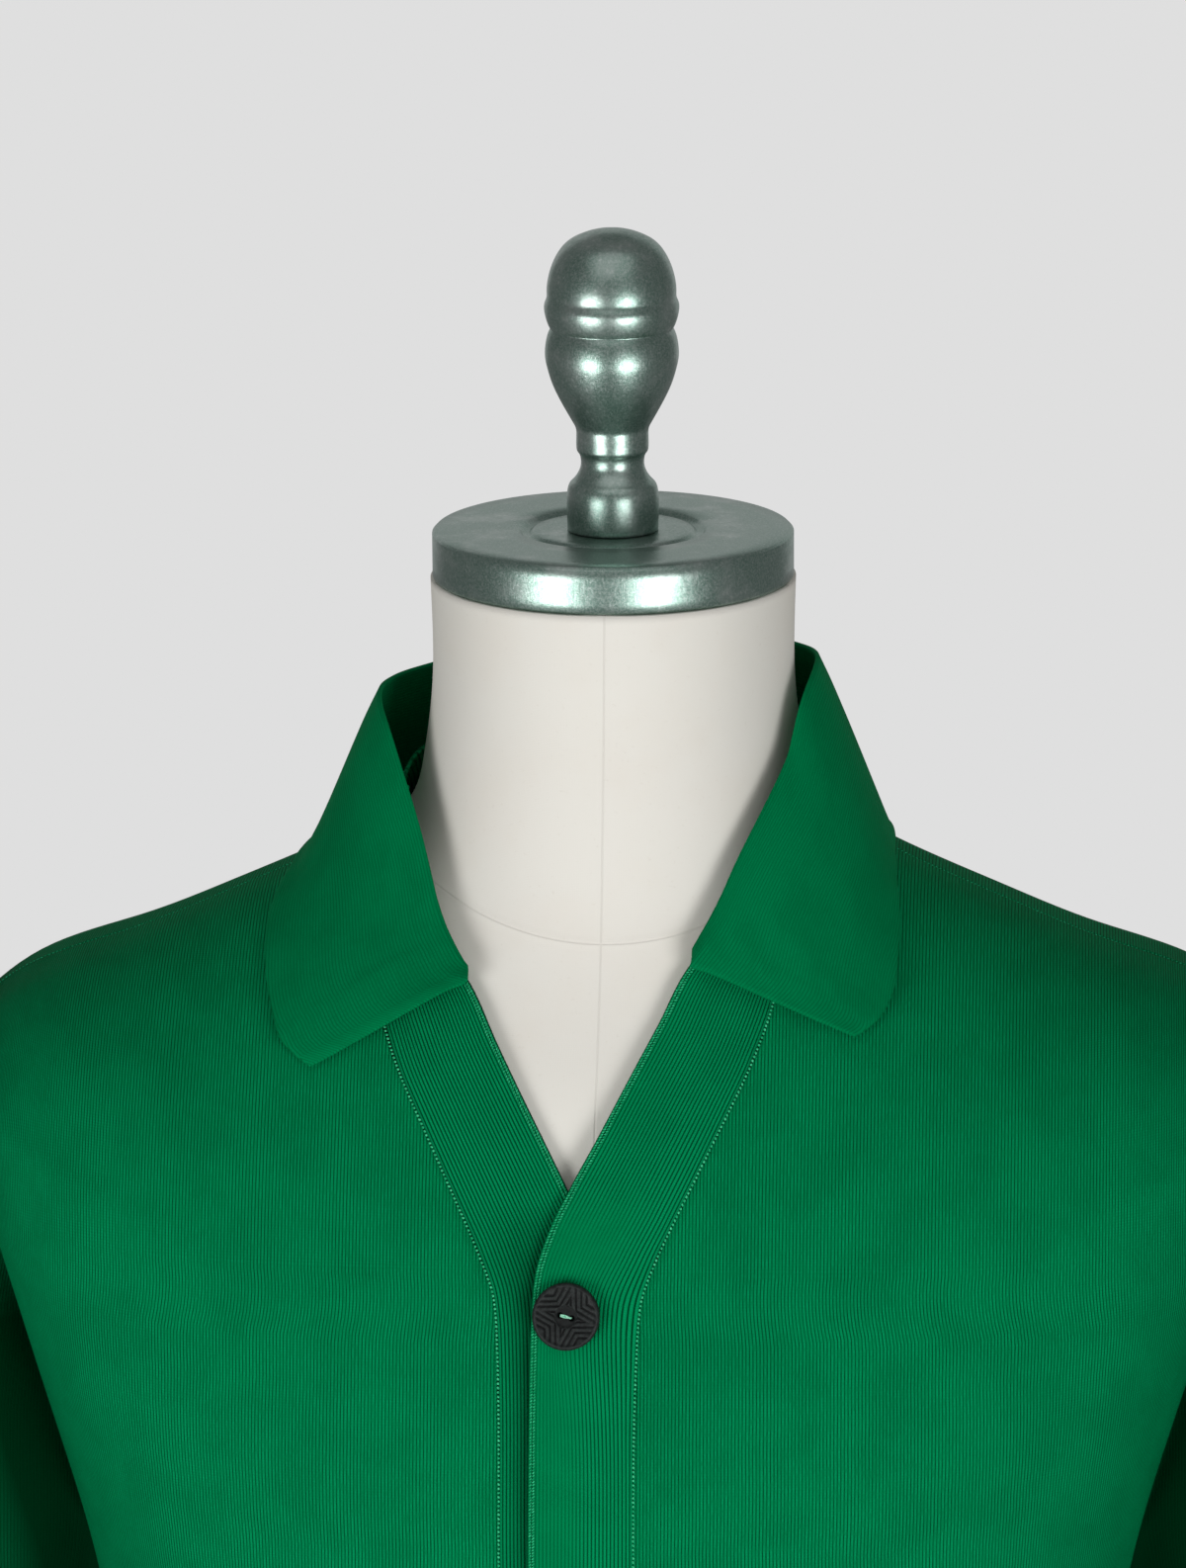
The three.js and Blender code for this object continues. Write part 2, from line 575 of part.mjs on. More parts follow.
function turned(profile, segments) {
  const points = profile.map(({ radius, height }) => new THREE.Vector2(radius, height));
  const lathe = new THREE.LatheGeometry(points, segments);
  lathe.rotateX(Math.PI / 2);
  return merged(lathe);
}

// One button with a sunken eye, two thread holes and the thread shank that passes the band's hole.
function button() {
  const shankLength = buttonSeat - bandWall - seamGap;
  const disc = turned([
    { radius: 0, height: -shankLength },
    { radius: threadRadius, height: -shankLength },
    { radius: threadRadius, height: 0 },
    { radius: buttonRadius - 1, height: 0 },
    { radius: buttonRadius, height: 1.1 },
    { radius: buttonRadius, height: 2.3 },
    { radius: buttonRadius - 1.4, height: buttonThick },
    { radius: 4.2, height: buttonThick - 0.4 },
    { radius: 3.2, height: buttonThick - 1.5 },
    { radius: 0, height: buttonThick - 1.5 },
  ], 14);
  const holes = [-0.5, 0.5].map((side) => {
    const hole = new THREE.CylinderGeometry(threadHoleRadius, threadHoleRadius, 2 * buttonThick, 6);
    hole.rotateX(Math.PI / 2);
    hole.translate(side * threadHolePitch, 0, buttonThick + 0.2);
    return merged(hole);
  });
  return cutFrom(disc, holes);
}

// Points of the armhole seam on the left side, at the middle of the wall: from the shoulder point
// down the front to the underarm and up the back, with one more between each two rows.
function armholeSeam() {
  const rows = range(armholeRows + 1).map((i) => hemRows + i);
  const spots = (turns) => rows.map((row) => {
    const [run, turn] = [panelRows[row](turns[row]), turns[row]];
    return { place: body.raised(run, turn, clothWall / 2), normal: body.normal(run, turn) };
  });
  const corners = [...spots(frontArmhole).reverse(), ...spots(backArmhole).slice(1, -1)];
  return corners.flatMap((corner, i) => {
    const next = corners[(i + 1) % corners.length];
    const place = corner.place.clone().lerp(next.place, 0.5);
    const normal = corner.normal.clone().add(next.normal).normalize();
    return [corner, { place, normal }];
  });
}

// The seam's points with the way out of the panels along the cloth, and gap, how far that way
// leaves the seam's gap on both sides of a corner.
function armholeLoop() {
  const seam = armholeSeam();
  return seam.map(({ place, normal }, i) => {
    const before = seam[(i + seam.length - 1) % seam.length].place;
    const after = seam[(i + 1) % seam.length].place;
    const away = normal.clone().cross(after.clone().sub(before)).normalize();
    const bend = place.clone().sub(before).angleTo(after.clone().sub(place)) / 2;
    return { place, normal, away, gap: seamGap / Math.max(Math.cos(bend), 0.3) };
  });
}

function sectionMiddle({ outX, outZ, inX, inZ, frontY, backY }) {
  return new THREE.Vector3((outX + inX) / 2, (frontY + backY) / 2, (outZ + inZ) / 2);
}

// The place on a section at an angle from its outermost point, past its front.
function sectionPoint(section, angle) {
  const { outX, outZ, inX, inZ, frontY, backY } = section;
  const power = 2 / sleeveSquare;
  const outward = signedPower(Math.cos(angle), power) / 2;
  const forward = signedPower(Math.sin(angle), power) / 2;
  const across = new THREE.Vector3(outX - inX, 0, outZ - inZ).multiplyScalar(outward);
  return sectionMiddle(section).add(across).add(new THREE.Vector3(0, (frontY - backY) * forward, 0));
}

function sleeveFoldHeight(down, angle) {
  let height = 0;
  for (const fold of sleeveFolds) {
    const away = angleBetween(angle, degrees(fold.round)) / degrees(fold.wide);
    const reach = Math.hypot((down - fold.down) / fold.long, away);
    height += fold.height * Math.exp(-(reach ** 2));
  }
  return height;
}

// The wall runs straight on from the seam for a short way, then through the sleeve's sections.
function sleeve() {
  const loop = armholeLoop();
  const angles = loop.map((_, i) => (2 * Math.PI * i) / loop.length);
  const straight = 4;
  const rows = [
    loop.map(({ place, away, gap }) => step(place, away, gap)),
    loop.map(({ place, away, gap }) => step(place, away, gap + straight)),
  ];
  sleeveSections.forEach((section, i) => {
    const down = (i + 1) / sleeveSections.length;
    const middle = sectionMiddle(section);
    rows.push(loop.map(({ place, away }, k) => {
      const spot = sectionPoint(section, angles[k]);
      const outward = spot.clone().sub(middle).normalize();
      const leftover = step(place, away, straight).sub(sectionPoint(armholeSection, angles[k]));
      spot.addScaledVector(leftover, section.seam);
      return spot.addScaledVector(outward, sleeveFoldHeight(down, angles[k]));
    }));
  });
  return wallAround(rows, clothWall, true, loop.map(({ normal }) => normal));
}

// Nearest place on the body to a point, from a first guess.
function footOnBody(target, run, turn) {
  for (let i = 0; i < 8; i += 1) {
    const here = body.point(run, turn);
    const off = target.clone().sub(here);
    const up = body.point(run + 0.5, turn).sub(here).divideScalar(0.5);
    const round = body.point(run, turn + 0.01).sub(here).divideScalar(0.01);
    run += off.dot(up) / up.lengthSq();
    turn += off.dot(round) / round.lengthSq();
  }
  return { run, turn };
}

// Middle line of the collar's wall at one station: up the stand, over the fold, down the leaf.
function collarSection(station) {
  const line = [];
  const seamTurn = degrees(-station.round);
  const rollTurn = degrees(-station.rollRound);
  const seamRun = neckRun(seamTurn) + seamGap;
  for (const i of range(standPoints)) {
    const climbed = i / (standPoints - 1);
    const run = THREE.MathUtils.lerp(seamRun, station.rollRun, climbed);
    const turn = THREE.MathUtils.lerp(seamTurn, rollTurn, climbed);
    line.push(body.raised(run, turn, collarWall / 2 + station.rollGap * climbed ** 1.5));
  }
  const top = line.at(-1);
  const up = top.clone().sub(line.at(-2)).normalize();
  const flat = body.normal(station.rollRun, rollTurn);
  const out = flat.addScaledVector(up, -flat.dot(up)).normalize();
  const opening = degrees(station.opening);
  for (const i of range(foldPoints)) {
    const bend = (opening * (i + 1)) / foldPoints;
    const across = collarFoldRadius * (1 - Math.cos(bend));
    line.push(step(step(top, out, across), up, collarFoldRadius * Math.sin(bend)));
  }
  const start = line.at(-1);
  const leaving = up.clone().multiplyScalar(Math.cos(opening)).addScaledVector(out, Math.sin(opening));
  const edgeTurn = degrees(-station.edgeRound);
  const edge = body.raised(station.edgeRun, edgeTurn, leafRest);
  const edgeNormal = body.normal(station.edgeRun, edgeTurn);
  const back = start.clone().sub(edge);
  back.addScaledVector(edgeNormal, -back.dot(edgeNormal)).normalize();
  const handle = start.distanceTo(edge) / 3;
  const leaf = new THREE.CubicBezierCurve3(
    start,
    step(start, leaving, handle),
    step(edge, back, handle * station.hug),
    edge,
  );
  for (const i of range(leafPoints)) {
    const along = (i + 1) / leafPoints;
    const run = THREE.MathUtils.lerp(station.rollRun, station.edgeRun, along);
    const turn = THREE.MathUtils.lerp(rollTurn, edgeTurn, along);
    line.push(restingOnBody(leaf.getPoint(along), run, turn));
  }
  const seamNormal = body.normal(seamRun, seamTurn);
  return { line, seamNormal };
}

// A place of the leaf, moved out where it would lie too deep. run and turn are a guess at its foot.
function restingOnBody(spot, run, turn) {
  const foot = footOnBody(spot, run, turn);
  const normal = body.normal(foot.run, foot.turn);
  const height = spot.clone().sub(body.point(foot.run, foot.turn)).dot(normal);
  return step(spot, normal, softMax(height, leafRest, 1) - height);
}

// The collar's ends stand on the free edges of the two bands.
function collar() {
  const stationAt = curvesThrough(range(collarStations.length), collarStations);
  const last = collarStations.length - 1;
  const firstNudge = THREE.MathUtils.radToDeg(-freeTurns.right.at(-1)) - rounds[0];
  const lastNudge = 360 - THREE.MathUtils.radToDeg(freeTurns.left.at(-1)) - rounds.at(-1);
  const sections = range(last * stationsBetween + 1).map((i) => {
    const place = i / stationsBetween;
    const columns = Object.entries(stationAt).map(([column, curve]) => [column, curve(place)]);
    const station = Object.fromEntries(columns);
    const nudge = firstNudge * (1 - smooth(place, 0, 2)) + lastNudge * smooth(place, last - 2, last);
    station.round += nudge;
    station.rollRound += nudge;
    return collarSection(station);
  });
  const rows = range(sections[0].line.length).map((i) => sections.map(({ line }) => line[i]));
  return wallAround(rows, collarWall, false, sections.map(({ seamNormal }) => seamNormal));
}

// Whole solid through the form's rings, closed by flat ends.
function torso() {
  const around = 28;
  const ringRuns = form.runs.flatMap((run, i) => (i === 0 ? [run] : [(run + form.runs[i - 1]) / 2, run]));
  const grid = ringRuns.map((run) => range(around).map((j) => form.point(run, (2 * Math.PI * j) / around)));
  const positions = grid.flat().flatMap((p) => [p.x, p.y, p.z]);
  const index = [];
  for (const i of range(grid.length - 1)) {
    const [low, high] = [i * around, (i + 1) * around];
    for (const j of range(around)) {
      const next = (j + 1) % around;
      index.push(low + j, low + next, high + next, low + j, high + next, high + j);
    }
  }
  const top = (grid.length - 1) * around;
  for (const j of range(around - 2)) {
    index.push(0, j + 2, j + 1);
    index.push(top, top + j + 1, top + j + 2);
  }
  return geometryOf(positions, index);
}

const formBottomZ = formRings[0].sideZ;
const formTopZ = formRings.at(-1).sideZ;
const capZ = formTopZ + seamGap;

function neckCap() {
  return turned([
    { radius: 0, height: 0 },
    { radius: capRadius - 0.6, height: 0 },
    { radius: capRadius, height: 0.8 },
    { radius: capRadius, height: capThick - 1 },
    { radius: capRadius - 1, height: capThick },
    { radius: 32, height: capThick },
    { radius: 30.5, height: capThick - 1.5 },
    { radius: 28.5, height: capThick - 1.5 },
    { radius: 27, height: capThick - capDish },
    { radius: 0, height: capThick - capDish },
  ], 32);
}

function finial() {
  const foot = { radius: 0, height: 0 };
  const tip = { radius: 0, height: finialHeight };
  return turned([foot, ...finialProfile, tip], 16);
}

function pole() {
  const length = formBottomZ - baseThick - 2 * seamGap;
  return turned([
    { radius: 0, height: 0 },
    { radius: poleRadius + poleCollar, height: 0 },
    { radius: poleRadius + poleCollar, height: 4 },
    { radius: poleRadius, height: 8 },
    { radius: poleRadius, height: length - 10 },
    { radius: poleRadius + poleFlange, height: length - 5 },
    { radius: poleRadius + poleFlange, height: length },
    { radius: 0, height: length },
  ], 20);
}

function base() {
  return turned([
    { radius: 0, height: 0 },
    { radius: baseRadius - 1.5, height: 0 },
    { radius: baseRadius, height: 1.5 },
    { radius: baseRadius, height: baseThick - 4 },
    { radius: baseRadius - 5, height: baseThick },
    { radius: 0, height: baseThick },
  ], 36);
}

const knit = (colour) => new THREE.MeshStandardMaterial({ color: colour, roughness: 0.9, metalness: 0 });
const bodyKnit = knit(0x006b3f);
const bandKnit = knit(0x00703f);
const linen = new THREE.MeshStandardMaterial({ color: 0xe6e3dd, roughness: 0.95, metalness: 0 });
const turnedMetal = new THREE.MeshStandardMaterial({ color: 0x8a9a94, roughness: 0.35, metalness: 0.9 });
const carvedHorn = new THREE.MeshStandardMaterial({ color: 0x16181a, roughness: 0.5, metalness: 0 });

const model = new THREE.Group();
function place(name, geometry, material, z = 0) {
  const mesh = new THREE.Mesh(geometry, material);
  mesh.name = name;
  mesh.position.z = z;
  model.add(mesh);
  return mesh;
}

const negative = (turns) => turns.map((turn) => -turn);
const fullRound = (turns) => turns.map((turn) => 2 * Math.PI - turn);

place('front_left', panel(seamTurns.left, frontArmhole, frontColumns), bodyKnit);
place('front_right', panel(negative(frontArmhole), seamTurns.right, frontColumns), bodyKnit);
place('back', panel(backArmhole, fullRound(backArmhole), backColumns), bodyKnit);
const leftSleeve = sleeve();
place('sleeve_left', leftSleeve, bodyKnit);
place('sleeve_right', mirrored(leftSleeve), bodyKnit);
const leftBand = band(freeTurns.left, seamTurns.left, bandLift);
place('band_left', cutFrom(leftBand, buttonHeights.map(buttonHoleCutter)), bandKnit);
place('band_right', band(seamTurns.right, freeTurns.right, () => 0), bandKnit);
place('collar', collar(), bandKnit);

buttonHeights.forEach((z, i) => {
  const disc = place(`button_${i + 1}`, button(), carvedHorn);
  buttonFrame(z, buttonSeat).decompose(disc.position, disc.quaternion, disc.scale);
});

place('form_torso', torso(), linen);
place('neck_cap', neckCap(), turnedMetal, capZ);
place('finial', finial(), turnedMetal, capZ + capThick - capDish + seamGap);
place('pole', pole(), turnedMetal, baseThick + seamGap);
place('base', base(), turnedMetal);

export default model;
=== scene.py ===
import math

import bmesh
import bpy
import numpy as np
from mathutils import Matrix, Vector
from mathutils.bvhtree import BVHTree


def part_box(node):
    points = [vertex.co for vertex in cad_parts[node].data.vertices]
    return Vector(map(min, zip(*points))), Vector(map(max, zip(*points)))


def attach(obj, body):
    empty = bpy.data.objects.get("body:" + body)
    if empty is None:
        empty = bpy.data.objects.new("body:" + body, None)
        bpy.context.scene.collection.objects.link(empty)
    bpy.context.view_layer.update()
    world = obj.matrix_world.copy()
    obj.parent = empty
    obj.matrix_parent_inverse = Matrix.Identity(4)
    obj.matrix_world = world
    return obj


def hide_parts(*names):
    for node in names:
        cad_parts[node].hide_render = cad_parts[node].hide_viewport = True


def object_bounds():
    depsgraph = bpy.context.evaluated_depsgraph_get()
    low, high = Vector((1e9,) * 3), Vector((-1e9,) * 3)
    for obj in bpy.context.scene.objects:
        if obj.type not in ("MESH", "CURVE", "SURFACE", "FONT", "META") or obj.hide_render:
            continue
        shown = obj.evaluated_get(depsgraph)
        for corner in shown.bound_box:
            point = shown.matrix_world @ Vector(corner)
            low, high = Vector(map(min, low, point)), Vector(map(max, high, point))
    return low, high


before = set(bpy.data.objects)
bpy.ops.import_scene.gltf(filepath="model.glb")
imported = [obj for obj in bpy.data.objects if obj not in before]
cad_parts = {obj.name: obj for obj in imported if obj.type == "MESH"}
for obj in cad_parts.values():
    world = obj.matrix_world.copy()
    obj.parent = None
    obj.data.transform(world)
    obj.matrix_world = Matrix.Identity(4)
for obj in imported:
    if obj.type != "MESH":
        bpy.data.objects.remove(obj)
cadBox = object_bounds()
mm = 0.001
upAxis = np.array((0.0, 0.0, 1.0))


# sockets with arithmetic, for shaders and for Geometry Nodes

def linkOrSet(tree, socket, value):
    if isinstance(value, Wire):
        tree.links.new(value.socket, socket)
    elif value is not None:
        socket.default_value = value


class Wire:
    # one output socket; each operator adds the Math node that it needs
    def __init__(self, tree, socket):
        self.tree, self.socket = tree, socket

    def math(self, operation, *values):
        node = self.tree.nodes.new("ShaderNodeMath")
        node.operation = operation
        for slot, value in zip(node.inputs, values):
            linkOrSet(self.tree, slot, value)
        return Wire(self.tree, node.outputs[0])

    def out(self, name):
        return Wire(self.tree, self.socket.node.outputs[name])


def mathMethod(operation, swapped=False):
    return lambda *wires: wires[0].math(operation, *(wires[::-1] if swapped else wires))


for name, operation in {
        "__add__": "ADD", "__sub__": "SUBTRACT", "__mul__": "MULTIPLY", "__truediv__": "DIVIDE",
        "__pow__": "POWER", "__abs__": "ABSOLUTE", "fract": "FRACT", "whole": "FLOOR", "sine": "SINE",
        "most": "MAXIMUM", "least": "MINIMUM"}.items():
    setattr(Wire, name, mathMethod(operation))
for name, operation in {"__radd__": "ADD", "__rsub__": "SUBTRACT", "__rmul__": "MULTIPLY"}.items():
    setattr(Wire, name, mathMethod(operation, swapped=True))


class Nodes:
    # adds nodes of any type to a tree: settings first, then the values or links of its sockets
    def __init__(self, tree):
        self.tree = tree

    def add(self, kind, settings=None, values=None, out=0):
        node = self.tree.nodes.new(kind)
        for name, value in (settings or {}).items():
            if name == "stops":
                ramp = node.color_ramp.elements
                while len(ramp) < len(value):
                    ramp.new(0.5)
                for stop, (place, colour) in zip(ramp, value):
                    stop.position, stop.color = place, colour
            else:
                setattr(node, name, value)
        for name, value in (values or {}).items():
            linkOrSet(self.tree, node.inputs[name], value)
        return Wire(self.tree, node.outputs[out]) if len(node.outputs) else None

    def blend(self, share, first, second):
        return self.add("ShaderNodeMix", {"data_type": "RGBA"}, {0: share, 6: first, 7: second}, 2)

    def fade(self, value, low, high):
        return self.add("ShaderNodeMapRange", {"interpolation_type": "SMOOTHSTEP"},
                        {"Value": value, "From Min": low, "From Max": high})

    def noise(self, place, scale, detail=2.0, roughness=0.5, dimensions="3D"):
        return self.add("ShaderNodeTexNoise", {"noise_dimensions": dimensions},
                        {"Vector": place, "Scale": scale, "Detail": detail, "Roughness": roughness})

    def objectPlace(self):
        return self.add("ShaderNodeTexCoord", None, None, "Object")

    def marks(self, name):
        return self.add("ShaderNodeAttribute", {"attribute_name": name}, None, "Fac")

    def named(self, name, kind="FLOAT"):
        return self.add("GeometryNodeInputNamedAttribute", {"data_type": kind}, {"Name": name})

    def scaled(self, vector, scale):
        return self.add("ShaderNodeVectorMath", {"operation": "SCALE"}, {"Vector": vector, "Scale": scale})


def perSize(size):
    # the noise or cell scale of a feature of this size in millimetres
    return 1 / (size * mm)


def colour(red, green, blue):
    # a display colour, 0 to 255, as the linear colour that a shader takes
    def linear(c):
        c /= 255
        return c / 12.92 if c <= 0.04045 else ((c + 0.055) / 1.055) ** 2.4
    return (linear(red), linear(green), linear(blue), 1.0)


def newMaterial(name):
    material = bpy.data.materials.new(name)
    material.use_nodes = True
    material.node_tree.nodes.clear()
    return material, Nodes(material.node_tree)


def finishMaterial(make, constants, varying, height=None, relief=0.0001):
    # one Principled surface; only what changes over the piece is linked
    surface = {**constants, **varying}
    if height is not None:
        surface["Normal"] = make.add("ShaderNodeBump", None,
                                     {"Strength": 1.0, "Distance": relief, "Height": height})
    shader = make.add("ShaderNodeBsdfPrincipled", None, surface)
    make.add("ShaderNodeOutputMaterial", None, {"Surface": shader})


# finishes

def knitFinish(name, look):
    # plain knitting: each wale is a column of V stitches, read from the cloth's own flat map
    material, make = newMaterial(name)
    flat = make.add("ShaderNodeUVMap", {"uv_map": "cloth"})
    place = make.add("ShaderNodeSeparateXYZ", None, {"Vector": flat})
    broad = make.noise(flat, perSize(look["mottle"]), 3.0, 0.6, "2D")
    wale = place * perSize(look["wale"]) + (broad - 0.5) * look["wander"]
    across = abs((wale + 0.5).fract() - 0.5) * 2          # 0 in a wale's middle, 1 between wales
    course = place.out("Y") * perSize(look["course"]) + across * look["slant"]
    along = abs(course.fract() - 0.5) * 2                 # 0 in a stitch's middle, 1 between stitches
    leg = 1 - abs(across - look["legPlace"]) * look["legSlope"]
    stitch = leg.most(0.0) * (1 - along * along * look["courseDepth"])
    gap = make.fade(across, 1 - look["gap"], 1.0)
    height = stitch * (1 - gap)
    column = make.add("ShaderNodeCombineXYZ", None, {
        "X": (wale + 0.5).whole(), "Y": place.out("Y") * perSize(look["run"])})
    uneven = make.noise(column, look["runScale"], 2.0, 0.7, "2D")
    fibre = make.noise(flat, perSize(look["fibre"]), 2.0, 0.7, "2D")
    calm = make.marks("calm")
    strength = (make.fade(uneven, 0.3, 0.62) * look["unevenness"] + (1 - look["unevenness"])) * (1 - calm)
    # painted shade in the gaps between the wales
    deep = make.blend(gap * strength * look["gapShade"], look["colour"], look["shade"])
    # painted highlight on the raised legs of the stitches
    lit = make.blend((height * look["legLight"] * strength).least(1.0), deep, look["light"])
    patchy = make.blend(make.fade(broad, 0.35, 0.7) * look["mottleShade"], lit, look["shade"])
    fuzzy = make.blend((fibre - 0.4).most(0.0) * look["fuzz"], patchy, look["light"])
    # the mark named sunk carries painted shade: near a sleeve's armhole seam, in a band's seam groove and on
    # the lower band beside the top band's free edge
    dimmed = make.blend(make.marks("sunk") * look["paintedShadeShare"], fuzzy, look["paintedShadeColour"])
    finishMaterial(make,
                   {"Specular IOR Level": look["gloss"], "Specular Tint": look["sheenTint"],
                    "Sheen Weight": look["sheen"], "Sheen Roughness": 0.5, "Sheen Tint": look["sheenTint"]},
                   {"Base Color": dimmed, "Roughness": 0.7 + fibre * 0.2},
                   height * (1 - calm) + fibre * look["fibreRelief"], look["relief"] * mm)
    return material


bodyKnitLook = {
    "colour": colour(0, 118, 68), "shade": colour(0, 52, 22), "light": colour(8, 172, 110),
    # the first colour below is painted shade, laid where the sunk mark is set
    "paintedShadeColour": colour(0, 40, 18), "sheenTint": colour(20, 190, 120),
    "wale": 1.15, "course": 0.92, "slant": 0.55, "gap": 0.7, "gapShade": 1.0, "legLight": 0.75,
    "courseDepth": 0.6, "mottle": 24, "run": 9, "wander": 0.12, "mottleShade": 0.14, "fuzz": 0.4,
    "relief": 0.2, "gloss": 0.04, "sheen": 0.04, "unevenness": 0.6, "legPlace": 0.4, "legSlope": 1.7,
    "runScale": 1.7, "fibre": 0.35, "fibreRelief": 0.35, "paintedShadeShare": 0.85,
}
ribKnitLook = {
    **bodyKnitLook, "shade": colour(0, 34, 14), "light": colour(8, 172, 110),
    "wale": 1.23, "course": 0.8, "slant": 0.45, "gap": 0.62, "gapShade": 1.0, "legLight": 0.7,
    "courseDepth": 0.5, "mottle": 18, "wander": 0.0, "mottleShade": 0.08, "relief": 0.14, "unevenness": 0.15,
}
collarKnitLook = {
    **bodyKnitLook, "colour": colour(0, 112, 64), "wale": 1.2, "gapShade": 0.32, "legLight": 0.24,
    "wander": 0.0, "relief": 0.08, "fuzz": 0.3,
}


def yarnFinish(name, look):
    material, make = newMaterial(name)
    ply = make.noise(make.objectPlace(), perSize(look["ply"]))
    tone = make.blend(make.fade(ply, 0.35, 0.7), look["colour"], look["light"])
    finishMaterial(make, {"Specular IOR Level": 0.2, "Specular Tint": look["tint"]},
                   {"Base Color": tone, "Roughness": 0.6 + ply * 0.2}, ply, 0.05 * mm)
    return material


def linenFinish(look):
    # plain weave on a padded form, with the pressed seams of its cover
    material, make = newMaterial("formLinen")
    spot = make.objectPlace()
    place = make.add("ShaderNodeSeparateXYZ", None, {"Vector": spot})
    x, y, z = place, place.out("Y"), place.out("Z")
    turn = make.add("ShaderNodeMath", {"operation": "ARCTAN2"}, {0: x, 1: y})
    noise = make.noise(spot, perSize(look["cloud"]), 4.0)
    slub = make.noise(spot, perSize(look["slub"]), 3.0)
    warp = (turn * (look["neckRadius"] / look["thread"]) * math.pi).sine()
    weft = (z * (math.pi * perSize(look["thread"]))).sine()
    weave = abs(warp) * 0.5 + abs(weft) * 0.5 + slub * 0.6
    front = 1 - make.fade(y, -look["frontFade"] * mm, look["frontFade"] * mm)
    middle = abs(x - (z - look["seamTop"] * mm) * look["seamDrift"] - look["seamX"] * mm)
    foot = abs(z - look["footZ"] * mm - x * x * look["footCurve"])
    width = look["seamWidth"] * mm
    swellWidth = width * look["swell"]
    seams = ((1 - make.fade(middle, 0.0, width)) * front).most(1 - make.fade(foot, 0.0, width))
    swell = ((1 - make.fade(middle, 0.0, swellWidth)) * front).most(1 - make.fade(foot, 0.0, swellWidth))
    tone = make.blend(make.fade(noise, 0.4, 0.75) * 0.35, look["colour"], look["warm"])
    flecked = make.blend(make.fade(slub, 0.62, 0.8) * 0.25, tone, look["fleck"])
    marked = make.blend(seams * look["seamShade"], flecked, look["shade"])
    finishMaterial(make, {"Specular IOR Level": 0.15},
                   {"Base Color": marked, "Roughness": 0.82 + slub * 0.12},
                   weave * 0.1 + swell * 0.5 - seams * 0.7 + noise * 1.2, 0.2 * mm)
    return material


def metalFinish(look):
    # cast metal under a thin grey-green hammered coat, lighter in random clouds
    material, make = newMaterial("turnedMetal")
    spot = make.objectPlace()
    cells = make.add("ShaderNodeTexVoronoi", {"feature": "SMOOTH_F1"},
                     {"Vector": spot, "Scale": perSize(look["cell"]), "Smoothness": 0.6})
    grain = make.noise(spot, perSize(look["grain"]), 5.0, 0.7)
    broad = make.noise(spot, perSize(look["cloud"]), 3.0)
    streaks = make.add("ShaderNodeMapping", None, {"Vector": spot, "Scale": (1.0, 1.0, look["stretch"])})
    brushed = make.noise(streaks, perSize(look["brush"]), 3.0)
    tone = make.blend(make.fade(grain, 0.38, 0.66), look["dark"], look["colour"])
    worn = make.blend(make.fade(broad, 0.45, 0.75) * 0.6, tone, look["light"])
    pits = make.blend(make.fade(cells, 0.1, 0.5) * 0.35, worn, look["dark"])
    finishMaterial(make, {"Metallic": 1.0},
                   {"Base Color": pits, "Roughness": 0.2 + grain * 0.16 + brushed * 0.1},
                   cells * 0.5 + grain * 0.6 + brushed * 0.3, look["relief"] * mm)
    return material


def buttonFinish(look):
    material, make = newMaterial("carvedHorn")
    spot = make.objectPlace()
    grain = make.noise(spot, perSize(look["grain"]), 4.0, 0.7)
    carve = make.marks("carve")
    tone = make.blend(make.fade(grain, 0.3, 0.75), look["colour"], look["light"])
    # painted shade in the carved grooves and the sunken eye, which are also rougher
    cut = make.blend(carve, tone, look["deep"])
    finishMaterial(make, {"Specular IOR Level": look["gloss"]},
                   {"Base Color": cut, "Roughness": 0.45 + grain * 0.18 + carve * 0.3},
                   grain, look["relief"] * mm)
    return material


knitBody = knitFinish("bodyKnit", bodyKnitLook)
knitRib = knitFinish("ribKnit", ribKnitLook)
knitCollar = knitFinish("collarKnit", collarKnitLook)
linkYarn = yarnFinish("linkingYarn", {
    "ply": 0.6, "colour": colour(4, 138, 84), "light": colour(58, 196, 140), "tint": colour(20, 190, 120)})
# a lighter copy of the linking yarn: painted light on the bands' linking stitches
paintedLightYarn = yarnFinish("paintedLightYarn", {
    "ply": 0.6, "colour": colour(20, 160, 104), "light": colour(84, 216, 160), "tint": colour(20, 190, 120)})
buttonThread = yarnFinish("buttonThread", {
    "ply": 0.5, "colour": colour(120, 205, 168), "light": colour(190, 240, 215),
    "tint": colour(200, 235, 220)})
linen = linenFinish({
    "colour": colour(234, 231, 223), "warm": colour(230, 223, 212), "fleck": colour(214, 207, 195),
    "shade": colour(150, 143, 132), "thread": 0.55, "neckRadius": 60, "seamWidth": 0.55,
    "seamShade": 0.13, "seamX": 0.6, "seamTop": 960, "seamDrift": 0.012,
    "footZ": 859.8, "footCurve": 4.1, "cloud": 30, "slub": 1.6, "frontFade": 4, "swell": 5,
})
metal = metalFinish({
    "colour": colour(188, 203, 197), "dark": colour(132, 160, 149), "light": colour(216, 223, 220),
    "cell": 2.0, "grain": 0.7, "relief": 0.05, "cloud": 14, "brush": 0.5, "stretch": 0.12,
})
horn = buttonFinish({
    "colour": colour(16, 19, 19), "light": colour(40, 46, 45), "deep": colour(1, 1, 2),
    "grain": 1.2, "gloss": 0.25, "relief": 0.03,
})
print("finishes made")


# small helpers


def placed(name, data):
    thing = bpy.data.objects.new(name, data)
    bpy.context.scene.collection.objects.link(thing)
    return thing


